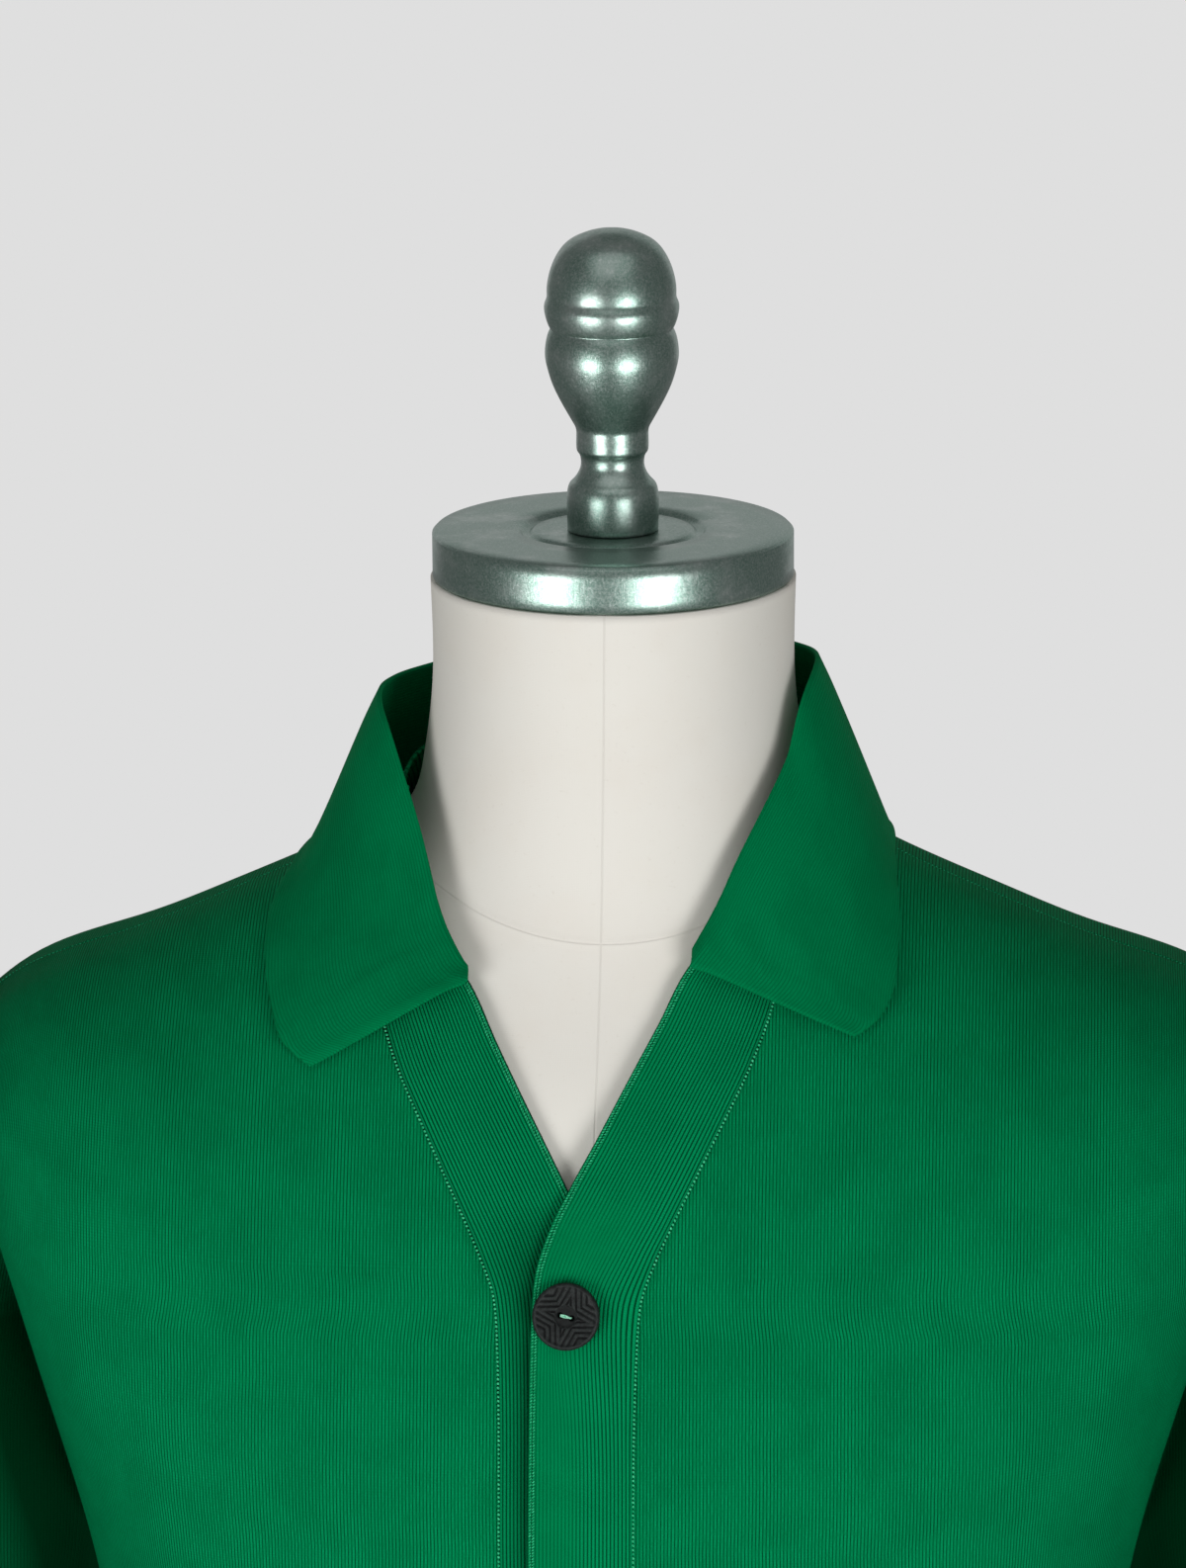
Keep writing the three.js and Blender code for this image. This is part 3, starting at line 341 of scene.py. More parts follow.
def ramp(value, start, length):
    # 0 before the start, 1 past the length from there; a negative length runs the other way
    return np.clip((value - start) / length, 0, 1)


def unit(rows):
    return rows / np.maximum(np.linalg.norm(rows, axis=-1, keepdims=True), 1e-9)


def setMarks(mesh, name, values, kind="FLOAT"):
    layer = mesh.attributes.new(name, kind, "POINT")
    layer.data.foreach_set("vector" if kind == "FLOAT_VECTOR" else "value",
                           np.asarray(values, np.float32).ravel())


# reading the frame's own shapes

def sideOf(name, wanted):
    # one side of a cloth wall, in millimetres, as an open sheet; wanted picks its faces
    sheet = bmesh.new()
    sheet.from_mesh(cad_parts[name].data)
    bmesh.ops.scale(sheet, vec=(1000,) * 3, verts=sheet.verts)
    bmesh.ops.remove_doubles(sheet, verts=sheet.verts, dist=0.01)
    sheet.normal_update()
    keep = wanted(sheet)
    bmesh.ops.delete(sheet, geom=[face for face in sheet.faces if face not in keep], context="FACES")
    return sheet


def islandsOf(faces):
    left, islands = set(faces), []
    while left:
        stack = [left.pop()]
        island = set(stack)
        while stack:
            for edge in stack.pop().edges:
                for near in edge.link_faces:
                    if near in left:
                        left.discard(near)
                        island.add(near)
                        stack.append(near)
        islands.append(island)
    return sorted(islands, key=lambda island: -sum(face.calc_area() for face in island))


def outerSide(sheet, reach=3.5):
    # faces with the wall's other side close behind them, in the larger of the two skins
    tree = BVHTree.FromBMesh(sheet)
    walls = []
    for face in sheet.faces:
        start = face.calc_center_median() - face.normal * 0.02
        spot, normal, _, _ = tree.ray_cast(start, -face.normal, reach)
        if spot is not None and normal.dot(face.normal) < -0.5:
            walls.append(face)
    return islandsOf(walls)[0]


def facing(direction):
    def wanted(sheet):
        return islandsOf([face for face in sheet.faces if face.normal.dot(Vector(direction)) > 0.5])[0]
    return wanted


def wholeOf(name):
    return sideOf(name, lambda sheet: set(sheet.faces))


def intoQuads(sheet, widest=60):
    bmesh.ops.join_triangles(sheet, faces=sheet.faces, angle_face_threshold=math.radians(widest),
                             angle_shape_threshold=math.radians(100), topology_influence=2.0)


def arraysOf(mesh):
    spots = np.empty(len(mesh.vertices) * 3)
    mesh.vertices.foreach_get("co", spots)
    return spots.reshape(-1, 3), [tuple(face.vertices) for face in mesh.polygons]


def smoothed(sheet, levels, creaseAngle=None):
    # subdivided so that the smooth surface passes through every point of the solid
    mesh = bpy.data.meshes.new("cage")
    if creaseAngle is not None:
        layer = sheet.edges.layers.float.new("crease_edge")
        for edge in sheet.edges:
            sharp = len(edge.link_faces) == 2 and edge.calc_face_angle() > math.radians(creaseAngle)
            edge[layer] = 1.0 if sharp else 0.0
    sheet.to_mesh(mesh)
    cage = placed("cage", mesh)
    finer = cage.modifiers.new("finer", "SUBSURF")
    finer.levels = finer.render_levels = levels
    finer.boundary_smooth = "PRESERVE_CORNERS"
    target, _ = arraysOf(mesh)
    held = target.copy()
    for _ in range(6):
        mesh.vertices.foreach_set("co", held.ravel())
        mesh.update()
        bpy.context.view_layer.update()
        result = bpy.data.meshes.new_from_object(cage.evaluated_get(bpy.context.evaluated_depsgraph_get()))
        spots, faces = arraysOf(result)
        bpy.data.meshes.remove(result)
        held += target - spots[:len(target)]
    bpy.data.objects.remove(cage)
    bpy.data.meshes.remove(mesh)
    sheet.free()
    return spots, faces


def normalsOf(spots, faces):
    total = np.zeros_like(spots)
    for sides in (3, 4):
        some = np.array([face for face in faces if len(face) == sides], int).reshape(-1, sides)
        if len(some):
            corner = spots[some]
            square = np.cross(corner[:, 2] - corner[:, 0], corner[:, -1] - corner[:, 1])
            for i in range(sides):
                np.add.at(total, some[:, i], square)
    return unit(total)


def boundaryLoops(faces):
    # each open edge of a sheet as one ordered ring of point numbers
    count = {}
    for face in faces:
        for a, b in zip(face, face[1:] + face[:1]):
            count[(a, b)] = count.get((a, b), 0) + 1
    follow = {a: b for (a, b) in count if (b, a) not in count}
    loops = []
    while follow:
        start, after = follow.popitem()
        loop = [start]
        while after != start:
            loop.append(after)
            after = follow.pop(after)
        loops.append(loop)
    return sorted(loops, key=len, reverse=True)


def rimOf(faces):
    return np.concatenate(boundaryLoops(faces))


def treeOf(spots, faces):
    return BVHTree.FromPolygons([Vector(spot) for spot in spots], faces)


formTree = BVHTree.FromBMesh(wholeOf("form_torso"))


def clearOfForm(spots, least):
    # moves a cloth's points out where they come closer to the form than least
    moved = spots.copy()
    for i, spot in enumerate(spots):
        near, normal, _, distance = formTree.find_nearest(Vector(spot), least + 6)
        if near is None:
            continue
        sunk = (Vector(spot) - near).dot(normal) < -0.5 * distance
        gap = -distance if sunk else distance
        if gap < least:
            moved[i] += np.array(normal) * (least - gap)
    return moved


# the cloth's own flat map

def joinedTree(names):
    spots, faces = [], []
    for name in names:
        some, sides = arraysOf(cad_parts[name].data)
        faces += [tuple(i + len(spots) for i in side) for side in sides]
        spots += [Vector(spot / mm) for spot in some]
    return BVHTree.FromPolygons(spots, faces)


class RoundMap:
    # distances round a tube of cloth from a line up its middle, and up it, as if it were laid flat
    def __init__(self, names, centreAt, heights, startTurn, zeroAt=0.0):
        tree = joinedTree(names)
        self.centreAt, self.heights, self.start = centreAt, heights, math.radians(startTurn)
        self.turns = np.radians(np.arange(-180, 181, 3))
        self.far = np.empty((len(heights), len(self.turns)))
        for i, z in enumerate(heights):
            centre = Vector((*centreAt(z), z))
            hits = []
            for turn in self.turns + self.start:
                way = Vector((math.sin(turn), -math.cos(turn), 0))
                hits.append(tree.ray_cast(centre, way, 400)[3] or np.nan)
            known = ~np.isnan(hits)
            self.far[i] = np.interp(self.turns, self.turns[known], np.array(hits)[known], period=math.tau)
        steps = np.hypot(np.diff(self.far), (self.far[:, 1:] + self.far[:, :-1]) / 2 * np.diff(self.turns))
        arcs = np.hstack((np.zeros((len(heights), 1)), np.cumsum(steps, axis=1)))
        sideways = self.far * np.sin(self.turns)
        half = np.abs(self.turns) <= math.pi / 2
        self.topSide, self.topTurns = sideways[-1][half], self.turns[half]
        for i in range(len(heights)):
            arcs[i] -= np.interp(zeroAt, sideways[i][half], arcs[i][half])
        self.arcs, self.around = arcs, arcs[:, -1] - arcs[:, 0]

    def read(self, table, turn, z):
        row = (z - self.heights[0]) / (self.heights[1] - self.heights[0])
        row = np.clip(row, 0, len(self.heights) - 1.001)
        column = (turn + math.pi) / (self.turns[1] - self.turns[0])
        column = np.clip(column, 0, len(self.turns) - 1.001)
        i, j = row.astype(int), column.astype(int)
        a, b = row - i, column - j
        low = table[i, j] * (1 - b) + table[i, j + 1] * b
        high = table[i + 1, j] * (1 - b) + table[i + 1, j + 1] * b
        return low * (1 - a) + high * a

    def __call__(self, spots):
        z, top = spots[:, 2], self.heights[-1]
        low = np.minimum(z, top)
        centre = np.array([self.centreAt(height) for height in low])
        x, y = spots[:, 0] - centre[:, 0], spots[:, 1] - centre[:, 1]
        ahead = x * math.sin(self.start) - y * math.cos(self.start)
        side = x * math.cos(self.start) + y * math.sin(self.start)
        turn = np.arctan2(side, ahead)
        over = np.clip((z - top + 20) / 20, 0, 1)
        topTurn = np.interp(side, self.topSide, self.topTurns)
        turn = turn * (1 - over) + topTurn * over
        beyond = side - np.clip(side, self.topSide.min(), self.topSide.max())
        across = self.read(self.arcs, turn, low) + beyond * over
        edge = self.read(self.far, topTurn, np.full_like(z, top)) * np.cos(topTurn)
        up = low + np.where(z > top, np.hypot(z - top, ahead - edge), 0)
        return np.stack((across, up), 1)


def nearestOn(points, line):
    # for each point, the distance to a line of points and how far along it the nearest lies
    best = np.full(len(points), 1e9)
    along = np.zeros(len(points))
    lengths = np.r_[0, np.cumsum(np.linalg.norm(np.diff(line, axis=0), axis=1))]
    for i, (start, end) in enumerate(zip(line, line[1:])):
        way = end - start
        share = np.clip((points - start) @ way / max(way @ way, 1e-9), 0, 1)
        far = np.linalg.norm(points - start - share[:, None] * way, axis=1)
        closer = far < best
        best[closer] = far[closer]
        along[closer] = (lengths[i] + share * np.linalg.norm(way))[closer]
    return best, along / lengths[-1]


def creased(spots, normals, flat, creases, edgeFade):
    # soft ridges and troughs along bent lines drawn on the flat cloth
    moved = spots.copy()
    share = np.linspace(0, 1, 17)[:, None]
    for start, bend, end, depth, width in creases:
        start, bend, end = np.array((start, bend, end), float)
        line = start * (1 - share) ** 2 + 2 * bend * share * (1 - share) + end * share ** 2
        away, along = nearestOn(flat, line)
        reach = away / (width * (0.55 + 0.9 * along * (1 - along) * 2))
        ends = np.sin(np.pi * np.clip(along, 0.0, 1.0)) ** 0.8
        height = (1 - 0.75 * reach ** 2) * np.exp(-reach ** 2) * ends
        moved += normals * (height * depth * edgeFade)[:, None]
    return moved


def closedShell(spots, faces, inner, bulge=0.3):
    # an open sheet and its inside points as one closed wall with a rounded rim
    normals = normalsOf(spots, faces)
    count = len(spots)
    points, sides = [spots, inner], list(faces) + [tuple(i + count for i in face[::-1]) for face in faces]
    source = list(range(count)) * 2
    first = 2 * count
    for loop in boundaryLoops(faces):
        outer, under = spots[loop], inner[loop]
        way = np.roll(outer, -1, 0) - np.roll(outer, 1, 0)
        away = unit(np.cross(way, normals[loop]))
        thick = np.linalg.norm(outer - under, axis=1, keepdims=True)
        points.append((outer + under) / 2 + away * thick * bulge)
        source += loop
        for i, a in enumerate(loop):
            j = (i + 1) % len(loop)
            b = loop[j]
            sides.append((b, a, first + i, first + j))
            sides.append((first + j, first + i, a + count, b + count))
        first += len(loop)
    return np.vstack(points), sides, np.array(source)


def asPiece(name, mesh, stoodFor=()):
    piece = placed(name, mesh)
    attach(piece, "root")
    if stoodFor:
        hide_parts(*stoodFor)
    return piece


def makePiece(name, spots, faces, material, flat=None, aroundFlat=None, stoodFor=()):
    mesh = bpy.data.meshes.new(name)
    mesh.from_pydata((np.asarray(spots) * mm).tolist(), [], faces)
    mesh.polygons.foreach_set("use_smooth", [True] * len(mesh.polygons))
    if flat is not None:
        corner = np.empty(len(mesh.loops), int)
        mesh.loops.foreach_get("vertex_index", corner)
        places = flat[corner].copy()
        if aroundFlat:
            starts = np.empty(len(mesh.polygons), int)
            mesh.polygons.foreach_get("loop_start", starts)
            highest = np.maximum.reduceat(places[:, 0], starts)
            owner = np.repeat(np.arange(len(starts)), np.diff(np.r_[starts, len(corner)]))
            wraps = highest[owner] - places[:, 0] > aroundFlat / 2
            places[wraps, 0] += aroundFlat
        layer = mesh.uv_layers.new(name="cloth")
        layer.data.foreach_set("uv", (places * mm).ravel())
    mesh.materials.append(material)
    mesh.validate()
    mesh.update()
    return asPiece(name, mesh, stoodFor)


# body panels and sleeves

def middleOf(name):
    low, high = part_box(name)
    return (low + high) / 2 / mm


buttonLine = middleOf("button_1").x
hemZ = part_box("back")[0].z / mm
bodyNodes = ["front_left", "front_right", "back", "band_left", "band_right"]
bodyHeights = np.arange(hemZ + 4, 762, 18.0)
sleeveHeights = np.arange(hemZ + 4, 762, 18.0)
bodyY = middleOf("back").y * 0.2 + middleOf("front_left").y * 0.2


def sleeveMiddle(name):
    spots, _ = arraysOf(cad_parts[name].data)
    spots = spots / mm
    levels = np.array((hemZ + 10, 300, 400, 500, 575))
    middles = [spots[np.abs(spots[:, 2] - level) < 28][:, :2] for level in levels]
    middles = np.array([(some.min(0) + some.max(0)) / 2 for some in middles])
    return lambda z: (np.interp(z, levels, middles[:, 0]), np.interp(z, levels, middles[:, 1]))


frontMap = RoundMap(bodyNodes, lambda z: (0.0, bodyY), bodyHeights, 0, buttonLine)
backMap = RoundMap(bodyNodes, lambda z: (0.0, bodyY), bodyHeights, 180)
sleeveMaps = {
    "sleeve_left": RoundMap(["sleeve_left"], sleeveMiddle("sleeve_left"), sleeveHeights, 90),
    "sleeve_right": RoundMap(["sleeve_right"], sleeveMiddle("sleeve_right"), sleeveHeights, -90),
}
print("flat maps made")

panelLook = {
    "wall": 1.2, "clear": 0.45, "fade": 22.0, "levels": 3, "armholeSoft": 26,
    "armholeOut": (170, 20), "armholeUp": (690, 30),
}


# places on the flat cloth: millimetres round from its middle line, and height above the floor;
# each row is a crease's start, bend and end, its depth and its width
frontCreases = {
    "front_left": [
        ((196, 640), (150, 600), (70, 560), -1.6, 22),
        ((206, 560), (176, 470), (150, 330), 2.2, 26),
        ((232, 520), (222, 420), (226, 260), -2.4, 20),
        ((120, 500), (108, 380), (122, 240), 1.6, 30),
        ((60, 470), (74, 360), (58, 218), -1.2, 24),
        ((190, 330), (160, 280), (172, 216), -1.6, 18),
        ((150, 720), (128, 640), (124, 560), 0.9, 26),
    ],
    "front_right": [
        ((-200, 636), (-158, 590), (-92, 566), -1.5, 20),
        ((-214, 570), (-190, 460), (-158, 350), 2.0, 24),
        ((-238, 500), (-226, 400), (-236, 236), -2.2, 22),
        ((-130, 480), (-118, 350), (-136, 230), 1.7, 28),
        ((-66, 430), (-84, 330), (-70, 218), -1.3, 22),
        ((-182, 310), (-150, 270), (-160, 216), 1.4, 18),
        ((-146, 706), (-122, 640), (-130, 540), 0.9, 24),
    ],
}
backCreases = [
    ((-220, 620), (-150, 560), (-60, 540), -2.0, 22),
    ((224, 610), (160, 545), (84, 520), -1.8, 24),
    ((-40, 700), (-52, 560), (-34, 380), 1.8, 34),
    ((56, 680), (40, 520), (62, 330), -1.6, 30),
    ((-140, 500), (-118, 380), (-132, 240), 2.0, 28),
    ((150, 480), (128, 360), (146, 222), -2.0, 26),
    ((8, 360), (-6, 290), (10, 217), 1.5, 26),
    ((-200, 400), (-214, 320), (-196, 218), -1.8, 20),
    ((212, 420), (226, 330), (206, 230), 1.8, 22),
    ((0, 800), (8, 760), (-4, 720), -0.8, 60),
]
sleeveCreases = {
    "sleeve_left": [
        ((-120, 560), (-60, 530), (20, 540), -2.6, 16),
        ((110, 575), (50, 540), (-10, 500), 2.0, 18),
        ((-96, 490), (-30, 462), (60, 476), -2.4, 15),
        ((128, 452), (70, 424), (12, 440), -1.9, 14),
        ((-70, 430), (-20, 396), (44, 404), 1.7, 15),
        ((100, 372), (48, 346), (-26, 356), -1.6, 14),
        ((-90, 320), (-40, 300), (24, 312), 1.3, 13),
        ((40, 700), (22, 620), (34, 520), 1.5, 24),
        ((-50, 690), (-36, 610), (-54, 500), -1.5, 22),
        ((90, 290), (40, 262), (-10, 272), -1.2, 12),
    ],
    "sleeve_right": [
        ((118, 548), (56, 520), (-18, 534), -2.4, 16),
        ((-112, 566), (-46, 530), (12, 494), 1.9, 17),
        ((92, 480), (34, 450), (-52, 468), -2.5, 15),
        ((-130, 440), (-64, 416), (-4, 430), -1.8, 15),
        ((76, 418), (18, 388), (-50, 398), 1.6, 14),
        ((-98, 360), (-40, 338), (30, 350), -1.7, 13),
        ((84, 310), (36, 290), (-30, 300), 1.2, 14),
        ((-44, 696), (-24, 610), (-40, 510), 1.5, 23),
        ((52, 680), (40, 600), (58, 496), -1.4, 22),
        ((-86, 282), (-36, 256), (16, 266), -1.2, 12),
    ],
}
# painted shade on a sleeve's front near its armhole seam, below the shoulder, where the body shades it; depth
# is how strong the shade is
sleevePaintedShade = {"solid": 18, "reach": 52, "top": 775, "fadeUp": 60, "behind": 10,
               "fadeAhead": 20, "depth": 1.2}
skins = {}


def relaxed(spots, faces, share, rounds=12, step=0.6):
    # evens the net out; its open edges stay where they are
    pairs = {tuple(sorted(pair)) for face in faces for pair in zip(face, face[1:] + face[:1])}
    pairs = np.array(sorted(pairs))
    share = share.copy()
    share[rimOf(faces)] = 0
    count = np.bincount(pairs.ravel(), minlength=len(spots))[:, None]
    for _ in range(rounds):
        total = np.zeros_like(spots)
        np.add.at(total, pairs[:, 0], spots[pairs[:, 1]])
        np.add.at(total, pairs[:, 1], spots[pairs[:, 0]])
        spots = spots + (total / count - spots) * (share * step)[:, None]
    return spots


def softPanel(name, flatMap, creases, around=None):
    # the solid's own outer face, made smooth, creased, held off the form and given its thickness
    sheet = sideOf(name, outerSide)
    intoQuads(sheet)
    spots, faces = smoothed(sheet, panelLook["levels"])
    normals = normalsOf(spots, faces)
    flat = flatMap(spots)
    edge = spots[rimOf(faces)]
    seams = edge[edge[:, 2] > hemZ + 2]
    near = np.array([np.min(np.linalg.norm(seams - spot, axis=1)) for spot in spots])
    spots = creased(spots, normals, flat, creases, ramp(near, 0, panelLook["fade"]) ** 1.5)
    armhole = ramp(abs(spots[:, 0]), *panelLook["armholeOut"]) * ramp(spots[:, 2], *panelLook["armholeUp"])
    spots = relaxed(spots, faces, (1 - ramp(near, 0, panelLook["armholeSoft"])) * armhole)
    spots = clearOfForm(spots, panelLook["wall"] + panelLook["clear"])
    normals = normalsOf(spots, faces)
    skins[name] = (spots, faces, normals)
    points, sides, source = closedShell(spots, faces, spots - normals * panelLook["wall"])
    piece = makePiece(name + "_knit", points, sides, knitBody, flat[source], around, [name])
    if around:
        # painted shade on the sleeve's front near the armhole seam, where the body shades it
        look = sleevePaintedShade
        beside = 1 - ramp(near, look["solid"], look["reach"])
        level = ramp(spots[:, 2], look["top"], -look["fadeUp"])
        ahead = ramp(spots[:, 1], look["behind"], -look["fadeAhead"])
        setMarks(piece.data, "sunk", (look["depth"] * beside * level * ahead)[source])
    return piece


cloth = {name: softPanel(name, frontMap, frontCreases[name]) for name in ("front_left", "front_right")}
cloth["back"] = softPanel("back", backMap, backCreases)
for name, flatMap in sleeveMaps.items():
    cloth[name] = softPanel(name, flatMap, sleeveCreases[name], flatMap.around.mean())
print("panels and sleeves made")


# collar

def sheetArrays(sheet):
    sheet.verts.index_update()
    spots = np.array([vert.co for vert in sheet.verts])
    faces = [tuple(vert.index for vert in face.verts) for face in sheet.faces]
    sheet.free()
    return spots, faces


def gridOf(spots, faces):
    # a sheet of four-sided faces as rows of points, its first row the longest run of its open edge
    ring = boundaryLoops(faces)[0]
    corners = [i for i, point in enumerate(ring) if sum(point in face for face in faces) == 1]
    runs = []
    for a, b in zip(corners, corners[1:] + [corners[0] + len(ring)]):
        runs.append([ring[i % len(ring)] for i in range(a, b + 1)])
    rows, left = [max(runs, key=len)], set(faces)
    while True:
        row = []
        for a, b in zip(rows[-1], rows[-1][1:]):
            face = next((face for face in left if a in face and b in face), None)
            if face is None:
                return spots[np.array(rows)]
            left.discard(face)
            i = face.index(a)
            ahead = face[(i + 1) % 4] == b
            c, d = (face[(i + 2) % 4], face[(i + 3) % 4]) if ahead else (face[(i + 2) % 4], face[(i + 1) % 4])
            row += [d, c] if not row else [c]
        rows.append(row)


def alongOf(line):
    return np.r_[0, np.cumsum(np.linalg.norm(np.diff(line, axis=0), axis=1))]


def smoothThrough(knots, values, places, full=False):
    # a curve through the values; unless it is full, it never swings past them
    knots, values = np.asarray(knots, float), np.asarray(values, float)
    gaps = np.diff(knots)[:, None]
    slopes = np.diff(values.reshape(len(knots), -1), axis=0) / gaps
    flat = values.reshape(len(knots), -1)
    tangents = np.zeros_like(flat)
    if full:
        tangents[1:-1] = (slopes[:-1] * gaps[1:] + slopes[1:] * gaps[:-1]) / (gaps[1:] + gaps[:-1])
    else:
        same = slopes[1:] * slopes[:-1] > 0
        weightA, weightB = 2 * gaps[1:] + gaps[:-1], gaps[1:] + 2 * gaps[:-1]
        with np.errstate(divide="ignore", invalid="ignore"):
            mean = (weightA + weightB) / (weightA / slopes[:-1] + weightB / slopes[1:])
        tangents[1:-1] = np.where(same, mean, 0)
    tangents[0], tangents[-1] = slopes[0], slopes[-1]
    i = np.clip(np.searchsorted(knots, places, side="right") - 1, 0, len(knots) - 2)
    width = gaps[i]
    t = ((np.asarray(places) - knots[i]) / width[:, 0])[:, None]
    result = ((1 + 2 * t) * (1 - t) ** 2 * flat[i] + t * (1 - t) ** 2 * width * tangents[i]
              + t * t * (3 - 2 * t) * flat[i + 1] + t * t * (t - 1) * width * tangents[i + 1])
    return result.reshape((len(places),) + values.shape[1:])


def quadsOf(rows, columns):
    index = np.arange(rows * columns).reshape(rows, columns)
    quads = np.stack((index[:-1, :-1], index[:-1, 1:], index[1:, 1:], index[1:, :-1]), -1).reshape(-1, 4)
    return [tuple(int(i) for i in quad) for quad in quads]


collarLook = {
    "wall": 1.5, "acrossStep": 1.6, "alongStep": 2.2, "foldRow": 6, "cornerReach": 2.0,
    "endShares": (1.0, 0.42, 0.1),
}


def straightEnd(grid, column, inward):
    # the leaf's end is cut straight, from the corner of the fold to the tip
    look = collarLook
    old, fold = grid[:, column].copy(), look["foldRow"]
    tip = old[0]
    way = (old[fold] - tip) * (1 + look["cornerReach"] / np.linalg.norm(old[fold] - tip))
    out = np.cross(way, grid[0, column + inward] - tip)
    out *= -np.sign(out[1]) / np.linalg.norm(out)
    ahead = alongOf(old[:fold + 1])
    straight = tip + way * (ahead / ahead[-1])[:, None]
    shift = straight - old[:fold + 1]
    shift -= (shift @ out)[:, None] * out
    shift = np.vstack((shift, np.repeat(shift[-1:], len(old) - fold - 1, axis=0)))
    for step, part in enumerate(look["endShares"]):
        grid[:, column + inward * step] += shift * part


def makeCollar():
    look = collarLook
    sheet = sideOf("collar", outerSide)
    intoQuads(sheet)
    grid = gridOf(*sheetArrays(sheet))
    bodyTree = joinedTree(bodyNodes)
    seamNear = [bodyTree.find_nearest(Vector(spot))[3] for spot in grid[:, grid.shape[1] // 2][[0, -1]]]
    if seamNear[0] > seamNear[1]:
        grid = grid[::-1]
    straightEnd(grid, 0, 1)
    straightEnd(grid, grid.shape[1] - 1, -1)
    middle = grid.shape[1] // 2
    across, along = alongOf(grid[:, middle]), alongOf(grid[-1])
    acrossAt = np.linspace(0, across[-1], int(across[-1] / look["acrossStep"]) + 1)
    acrossAt = np.unique(np.r_[acrossAt, across])
    alongAt = np.linspace(0, along[-1], int(along[-1] / look["alongStep"]) + 1)
    tight = np.zeros(grid.shape[1])
    tight[[0, 1, -2, -1]] = 1.0, 0.5, 0.5, 1.0
    tight = tight[None, :, None]
    loose, firm = (smoothThrough(across, grid, acrossAt, full) for full in (True, False))
    grid = loose * (1 - tight) + firm * tight
    grid = smoothThrough(along, grid.transpose(1, 0, 2), alongAt, True).transpose(1, 0, 2)
    rows, columns = grid.shape[:2]
    steps = np.linalg.norm(np.diff(grid, axis=0), axis=2)
    fromEdge = np.vstack((np.cumsum(steps[::-1], axis=0)[::-1], np.zeros(columns)))
    flat = np.stack((fromEdge.ravel(), np.tile(alongAt, rows)), 1)
    spots, faces = grid.reshape(-1, 3), quadsOf(rows, columns)
    normals = normalsOf(spots, faces)
    leafMiddle = (rows - 1) * columns + columns // 2
    if normals[leafMiddle][1] < 0:
        faces = [face[::-1] for face in faces]
        normals = -normals
    skins["collar"] = (spots, faces, normals)
    points, sides, source = closedShell(spots, faces, spots - normals * look["wall"])
    return makePiece("collar_knit", points, sides, knitCollar, flat[source], None, ["collar"])


cloth["collar"] = makeCollar()
print("collar made")


# Geometry Nodes: built here, run once, and turned into plain mesh

def newTree(name, inputs):
    tree = bpy.data.node_groups.new(name, "GeometryNodeTree")
    tree.interface.new_socket("Geometry", in_out="INPUT", socket_type="NodeSocketGeometry")
    for label, (kind, value) in inputs.items():
        socket = tree.interface.new_socket(label, in_out="INPUT", socket_type="NodeSocket" + kind)
        if value is not None:
            socket.default_value = value
    tree.interface.new_socket("Geometry", in_out="OUTPUT", socket_type="NodeSocketGeometry")
    return tree, Nodes(tree)


def grown(source, tree, values):
    # the tree's result on one object, as a plain mesh
    modifier = source.modifiers.new("grow", "NODES")
    modifier.node_group = tree
    for item in tree.interface.items_tree:
        if item.in_out == "INPUT" and item.name in values:
            modifier[item.identifier] = values[item.name]
    bpy.context.view_layer.update()
    mesh = bpy.data.meshes.new_from_object(source.evaluated_get(bpy.context.evaluated_depsgraph_get()))
    source.modifiers.remove(modifier)
    return mesh


def ribTree():
    # lets the valleys between the ribs of a band sink in
    tree, make = newTree("ribWave", {"Ribs": ("Float", 28.0), "Depth": ("Float", 0.0003),
                                     "Roundness": ("Float", 0.6)})
    given = make.add("NodeGroupInput", None, None, "Geometry")
    across, relief = make.named("across"), make.named("relief")
    outward = make.named("outward", "FLOAT_VECTOR")
    crest = abs((across * given.out("Ribs") * math.pi).sine()) ** given.out("Roundness")
    sink = (crest - 1) * relief * given.out("Depth")
    moved = make.add("GeometryNodeSetPosition", None,
                     {"Geometry": given, "Offset": make.scaled(outward, sink)})
    make.add("NodeGroupOutput", None, {"Geometry": moved})
    return tree


